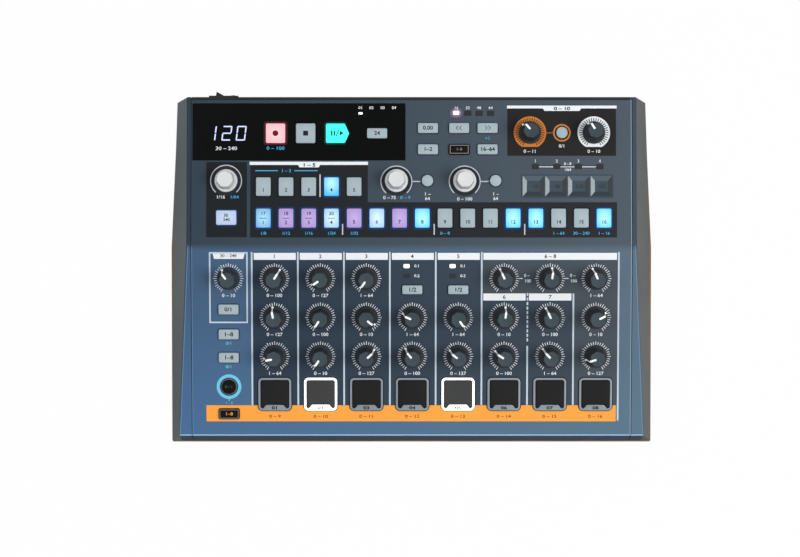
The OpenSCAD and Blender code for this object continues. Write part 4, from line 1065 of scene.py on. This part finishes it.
printOn("front_blue_numbers", channelMarks, "paleBlueInk", frontPlane)
typeMarks, typeLights = [], []
for x in (columnX(4), columnX(5)):
    typeMarks += addTexts([("0.1", x + 3, -13.2), ("0.2", x + 3, -19.7)], 2.6, 1.1, 0.06)
    typeLights.append(addPlate(x - 3.75, -13.2, 3.9, 2.6, 0.6))
printOn("type_numbers", typeMarks, "whiteInk", frontPlane)
printOn("type_lights", typeLights, "whiteLight", frontPlane, overLens)
stripeMarks = addTexts([("0 – %d" % (n + 8), columnX(n), -112.9) for n in range(1, 9)], 3, 1.25)
printOn("stripe_numbers", stripeMarks, "rustInk", frontPlane, ink["top"])
print("numbers printed")

# ---- pads ----

padShape = {"frame": 21.7, "rim": 1.4, "corner": 2.8, "frameHeight": 1.2, "proud": 2.2, "gap": 0.4, "tab": 17,
            "tabDeep": 3.8, "tabSlant": 2.8, "below": 1.4, "crown": 0.3}


# The room inside a pad's frame, made smaller all round by gap: a square with a notch for the tab
def addPadBlock(gap, low, high):
    inner = padShape["frame"] - 2 * padShape["rim"] - 2 * gap
    block = addBlock(inner, inner, low, high, padShape["corner"] - padShape["rim"], 8)
    tab = addTab(0, padShape["tabDeep"] + gap, -3, padShape["tab"] / 2 - padShape["tabSlant"] + gap,
                 padShape["tab"] / 2 + padShape["tabSlant"] + gap)
    finishWith(tab, "SOLIDIFY", thickness=high - low + 2, offset=0)
    settle(tab, Matrix.Translation((0, -padShape["frame"] / 2, (low + high) / 2)))
    cutOut(block, tab)
    return block


# Cuts both ways across a piece, so that its top can be crowned
def cutAcross(piece, places):
    editAll(piece)
    for place in places:
        for along in ((1, 0, 0), (0, 1, 0)):
            bpy.ops.mesh.bisect(plane_co=tuple(place * step for step in along), plane_no=along)
            bpy.ops.mesh.select_all(action="SELECT")
    bpy.ops.mesh.remove_doubles(threshold=0.01)
    leaveEdit()


def softenEdges(piece, width, segments):
    finishWith(piece, "BEVEL", width=width, segments=segments, limit_method="ANGLE",
               angle_limit=math.radians(60))


def addPad():
    top = padShape["proud"] - padShape["crown"]
    pad = addPadBlock(padShape["gap"], -padShape["below"], top)
    softenEdges(pad, 0.35, 3)
    half = padShape["frame"] / 2 - padShape["rim"]
    cutAcross(pad, [n * half / 4 for n in range(-3, 4)])
    for vertex in pad.data.vertices:
        if vertex.co.z > top - 0.01:
            vertex.co.z += padShape["crown"] * (1 - (vertex.co.x / half) ** 2) * (1 - (vertex.co.y / half) ** 2)
    smooth(pad, 40)
    return pad


def addPadFrame():
    block = addBlock(padShape["frame"], padShape["frame"], 0, padShape["frameHeight"], padShape["corner"], 8)
    cutOut(block, addPadBlock(0, -1, padShape["frameHeight"] + 1))
    softenEdges(block, 0.2, 2)
    smooth(block, 40)
    return block


padModel = addPad()
frameModel = addPadFrame()
litFrames = [2, 5]
rims = {"pad_rims": [], "pad_rims_lit": []}
for n in range(1, 9):
    place = frontPlane @ Matrix.Translation((columnX(n), layout["padRow"], 0))
    node = "pad_%d" % n
    rubber = placedCopy(padModel, node + "_rubber", place)
    rideCase(rubber, "litPad" if n in litFrames else "pad", node)
    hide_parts(node)
    rims["pad_rims_lit" if n in litFrames else "pad_rims"].append(placedCopy(frameModel, node + "_rim", place))
for name, look in (("pad_rims", "frame"), ("pad_rims_lit", "litFrame")):
    rim = rideCase(joined(rims[name], name), look)
    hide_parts("pad_frames")
discard(padModel, frameModel)
# A painted shadow lies round each pad frame
padShadows = [addPlate(columnX(n), layout["padRow"], 22.8, 22.8, 3.3) for n in range(1, 9)]
printOn("pad_outlines", padShadows, "wellInk", frontPlane, ink["padEdge"])
tabNumbers = addTexts([("%02d" % n, columnX(n), layout["padRow"] - 9.1) for n in range(1, 9)], 2.7, 1.5, 0.1)
printOn("pad_numbers", tabNumbers, "darkInk", frontPlane, padShape["frameHeight"] + 0.02)
print("pads placed")


# ---- rear sockets ----

socketShape = {"nutProud": 1.6, "bigNut": 5.6, "smallNut": 3.6, "numberUp": 9.5, "numberSize": 3.2,
               "shellLevel": 0.43, "printLevel": 0.03}
mounts = sorted(frame["record"]["mounts"], key=lambda mount: -mount["pos_m"][0])
rearWall = max(mount["pos_m"][1] for mount in mounts) / mm
rearUpright = (Matrix.Scale(mm, 4) @ Matrix.Translation((0, rearWall, 0)) @ Matrix.Rotation(math.pi, 4, "Z")
               @ Matrix.Rotation(math.radians(90), 4, "X"))


# Where a mount is on the rear wall, seen from behind
def wallSpot(mount):
    return -mount["pos_m"][0] / mm, mount["pos_m"][2] / mm


# A hexagonal nut with a round hole, in the rear wall's own plane
def addNut(x, z, across, hole):
    nut = addTurned(6, across, across * 0.96, 0, socketShape["nutProud"])
    bevelUprights(nut, 0.3, 2)
    cutOut(nut, addTurned(48, hole, hole, -1, socketShape["nutProud"] + 1))
    smooth(nut, 30)
    settle(nut, Matrix.Translation((x, z, 0)))
    return nut


# Nuts on the round sockets, metal shells round the data and computer sockets and round the power inlet
bores = [mount for mount in mounts if mount["kind"] == "bore"]
others = [mount for mount in frame["record"]["mounts"] if mount["kind"] == "other"][:4]
others.sort(key=lambda mount: -mount["pos_m"][0])
nuts, shells, rearNumbers = [], [], []
for mount in bores:
    hole = mount["dims"]["r_mm"]
    nuts.append(addNut(*wallSpot(mount), socketShape["bigNut" if hole > 2.5 else "smallNut"], hole + 0.05))
for mount in others:
    x, z = wallSpot(mount)
    if "note" in mount["name"]:
        shells.append(addRing(x, z, 6.75, 7.35))
    elif "computer" in mount["name"]:
        shells.append(addFrame(*around(x, z, 9.8, 9), 0.55))
    else:
        shells.append(addRing(x, z, 3, 4.2))
        printOn("power_pin", [addRing(x, z, 0.01, 1.0)], "contact", rearUpright, socketShape["printLevel"])
printOn("socket_shells", shells, "contact", rearUpright, socketShape["shellLevel"])
for number, mount in enumerate(bores + others, 1):
    x, z = wallSpot(mount)
    z += socketShape["numberUp"]
    rearNumbers.append(addText(str(number), x, z, socketShape["numberSize"], bold=0.04))
rocker = Vector(joints["power_rocker_tip"]["pos_m"]) / mm
rearNumbers += addTexts([("0", -rocker.x - 4.5, rocker.z - 9.6), ("1", -rocker.x + 4.5, rocker.z - 9.6)], 3,
                        bold=0.04)
socketNuts = joined(nuts, "socket_nuts")
settle(socketNuts, rearUpright)
rideCase(socketNuts, "nut")
printOn("rear_wall_numbers", rearNumbers, "whiteInk", rearUpright, socketShape["printLevel"])
print("rear sockets finished")

# ---- camera, light and floor ----

# Lengths are in millimetres. The target's height is over the table.
view = {"lens": 102.64, "sensor": 36, "targetX": -7.63, "targetBehindFold": -21.26, "targetZ": 39.89,
        "back": -57.58, "up": 1498.9}
target = Vector((view["targetX"] * mm, foldY + view["targetBehindFold"] * mm, view["targetZ"] * mm))
eye = target + Vector((0, view["back"] * mm, view["up"] * mm))
bpy.ops.object.camera_add(location=eye)
camera = bpy.context.object
camera.rotation_euler = (target - eye).to_track_quat("-Z", "Y").to_euler()
camera.data.lens = view["lens"]
camera.data.sensor_width = view["sensor"]
camera.data.clip_start = 0.05
camera.data.clip_end = 50
bpy.context.scene.camera = camera

lamps = [
    {"name": "key_light", "place": (1.3, -0.25, 1.7), "size": 1.0, "power": 30},
    {"name": "fill_light", "place": (-1.3, 0.1, 1.9), "size": 1.4, "power": 11},
]
for lamp in lamps:
    bpy.ops.object.light_add(type="AREA", location=lamp["place"])
    light = bpy.context.object
    light.name = lamp["name"]
    light.data.size = lamp["size"]
    light.data.energy = lamp["power"]
    light.rotation_euler = (Vector((0, 0, 0.02)) - Vector(lamp["place"])).to_track_quat("-Z", "Y").to_euler()

# The room is brightest overhead. The camera sees it as plain white.
world = bpy.data.worlds.new("softRoom")
bpy.context.scene.world = world
world.use_nodes = True
tree = world.node_tree
tree.nodes.clear()
rays = addNode(tree, "LightPath")
seen = addNode(tree, "Math", {"operation": "MAXIMUM"},
               {0: rays.outputs["Is Camera Ray"], 1: rays.outputs["Is Transmission Ray"]})
sky = addNode(tree, "TexCoord")
height = addNode(tree, "SeparateXYZ", links={"Vector": sky.outputs["Generated"]})
overhead = addNode(tree, "ValToRGB", links={"Fac": height.outputs["Z"]})
overhead.color_ramp.elements[0].color = (0.22, 0.22, 0.22, 1)
overhead.color_ramp.elements[1].color = (0.08, 0.08, 0.08, 1)
for stop, level in ((0.35, 0.4), (0.6, 0.75), (0.88, 0.85)):
    overhead.color_ramp.elements.new(stop).color = (level, level, level, 1)
ambient = addNode(tree, "Background", {"Color": hexColour("#f4f6fa")}, {"Strength": overhead})
backdrop = addNode(tree, "Background", {"Color": (1, 1, 1, 1), "Strength": 1.0})
shown = addNode(tree, "MixShader", links={0: seen, 1: ambient, 2: backdrop})
addNode(tree, "OutputWorld", links={"Surface": shown})

bpy.ops.mesh.primitive_plane_add(size=8)
floor = bpy.context.object
floor.name = "floor"
paperMaterial, tree = newMaterial("paperCoatedWhite")
paper = addNode(tree, "BsdfPrincipled", {"Base Color": hexColour("#8a8a8a"), "Roughness": 0.9})
whiteLift = addNode(tree, "Emission", {"Color": (1, 1, 1, 1), "Strength": 1.03})
rays = addNode(tree, "LightPath")
lift = addNode(tree, "Math", {"operation": "MULTIPLY", 1: 0.95}, {0: rays.outputs["Is Camera Ray"]})
paperShown = addNode(tree, "MixShader", links={0: lift, 1: paper, 2: whiteLift})
floor.data.materials.append(output(paperMaterial, paperShown))

bpy.context.scene.view_settings.view_transform = "Standard"
print("stage set")
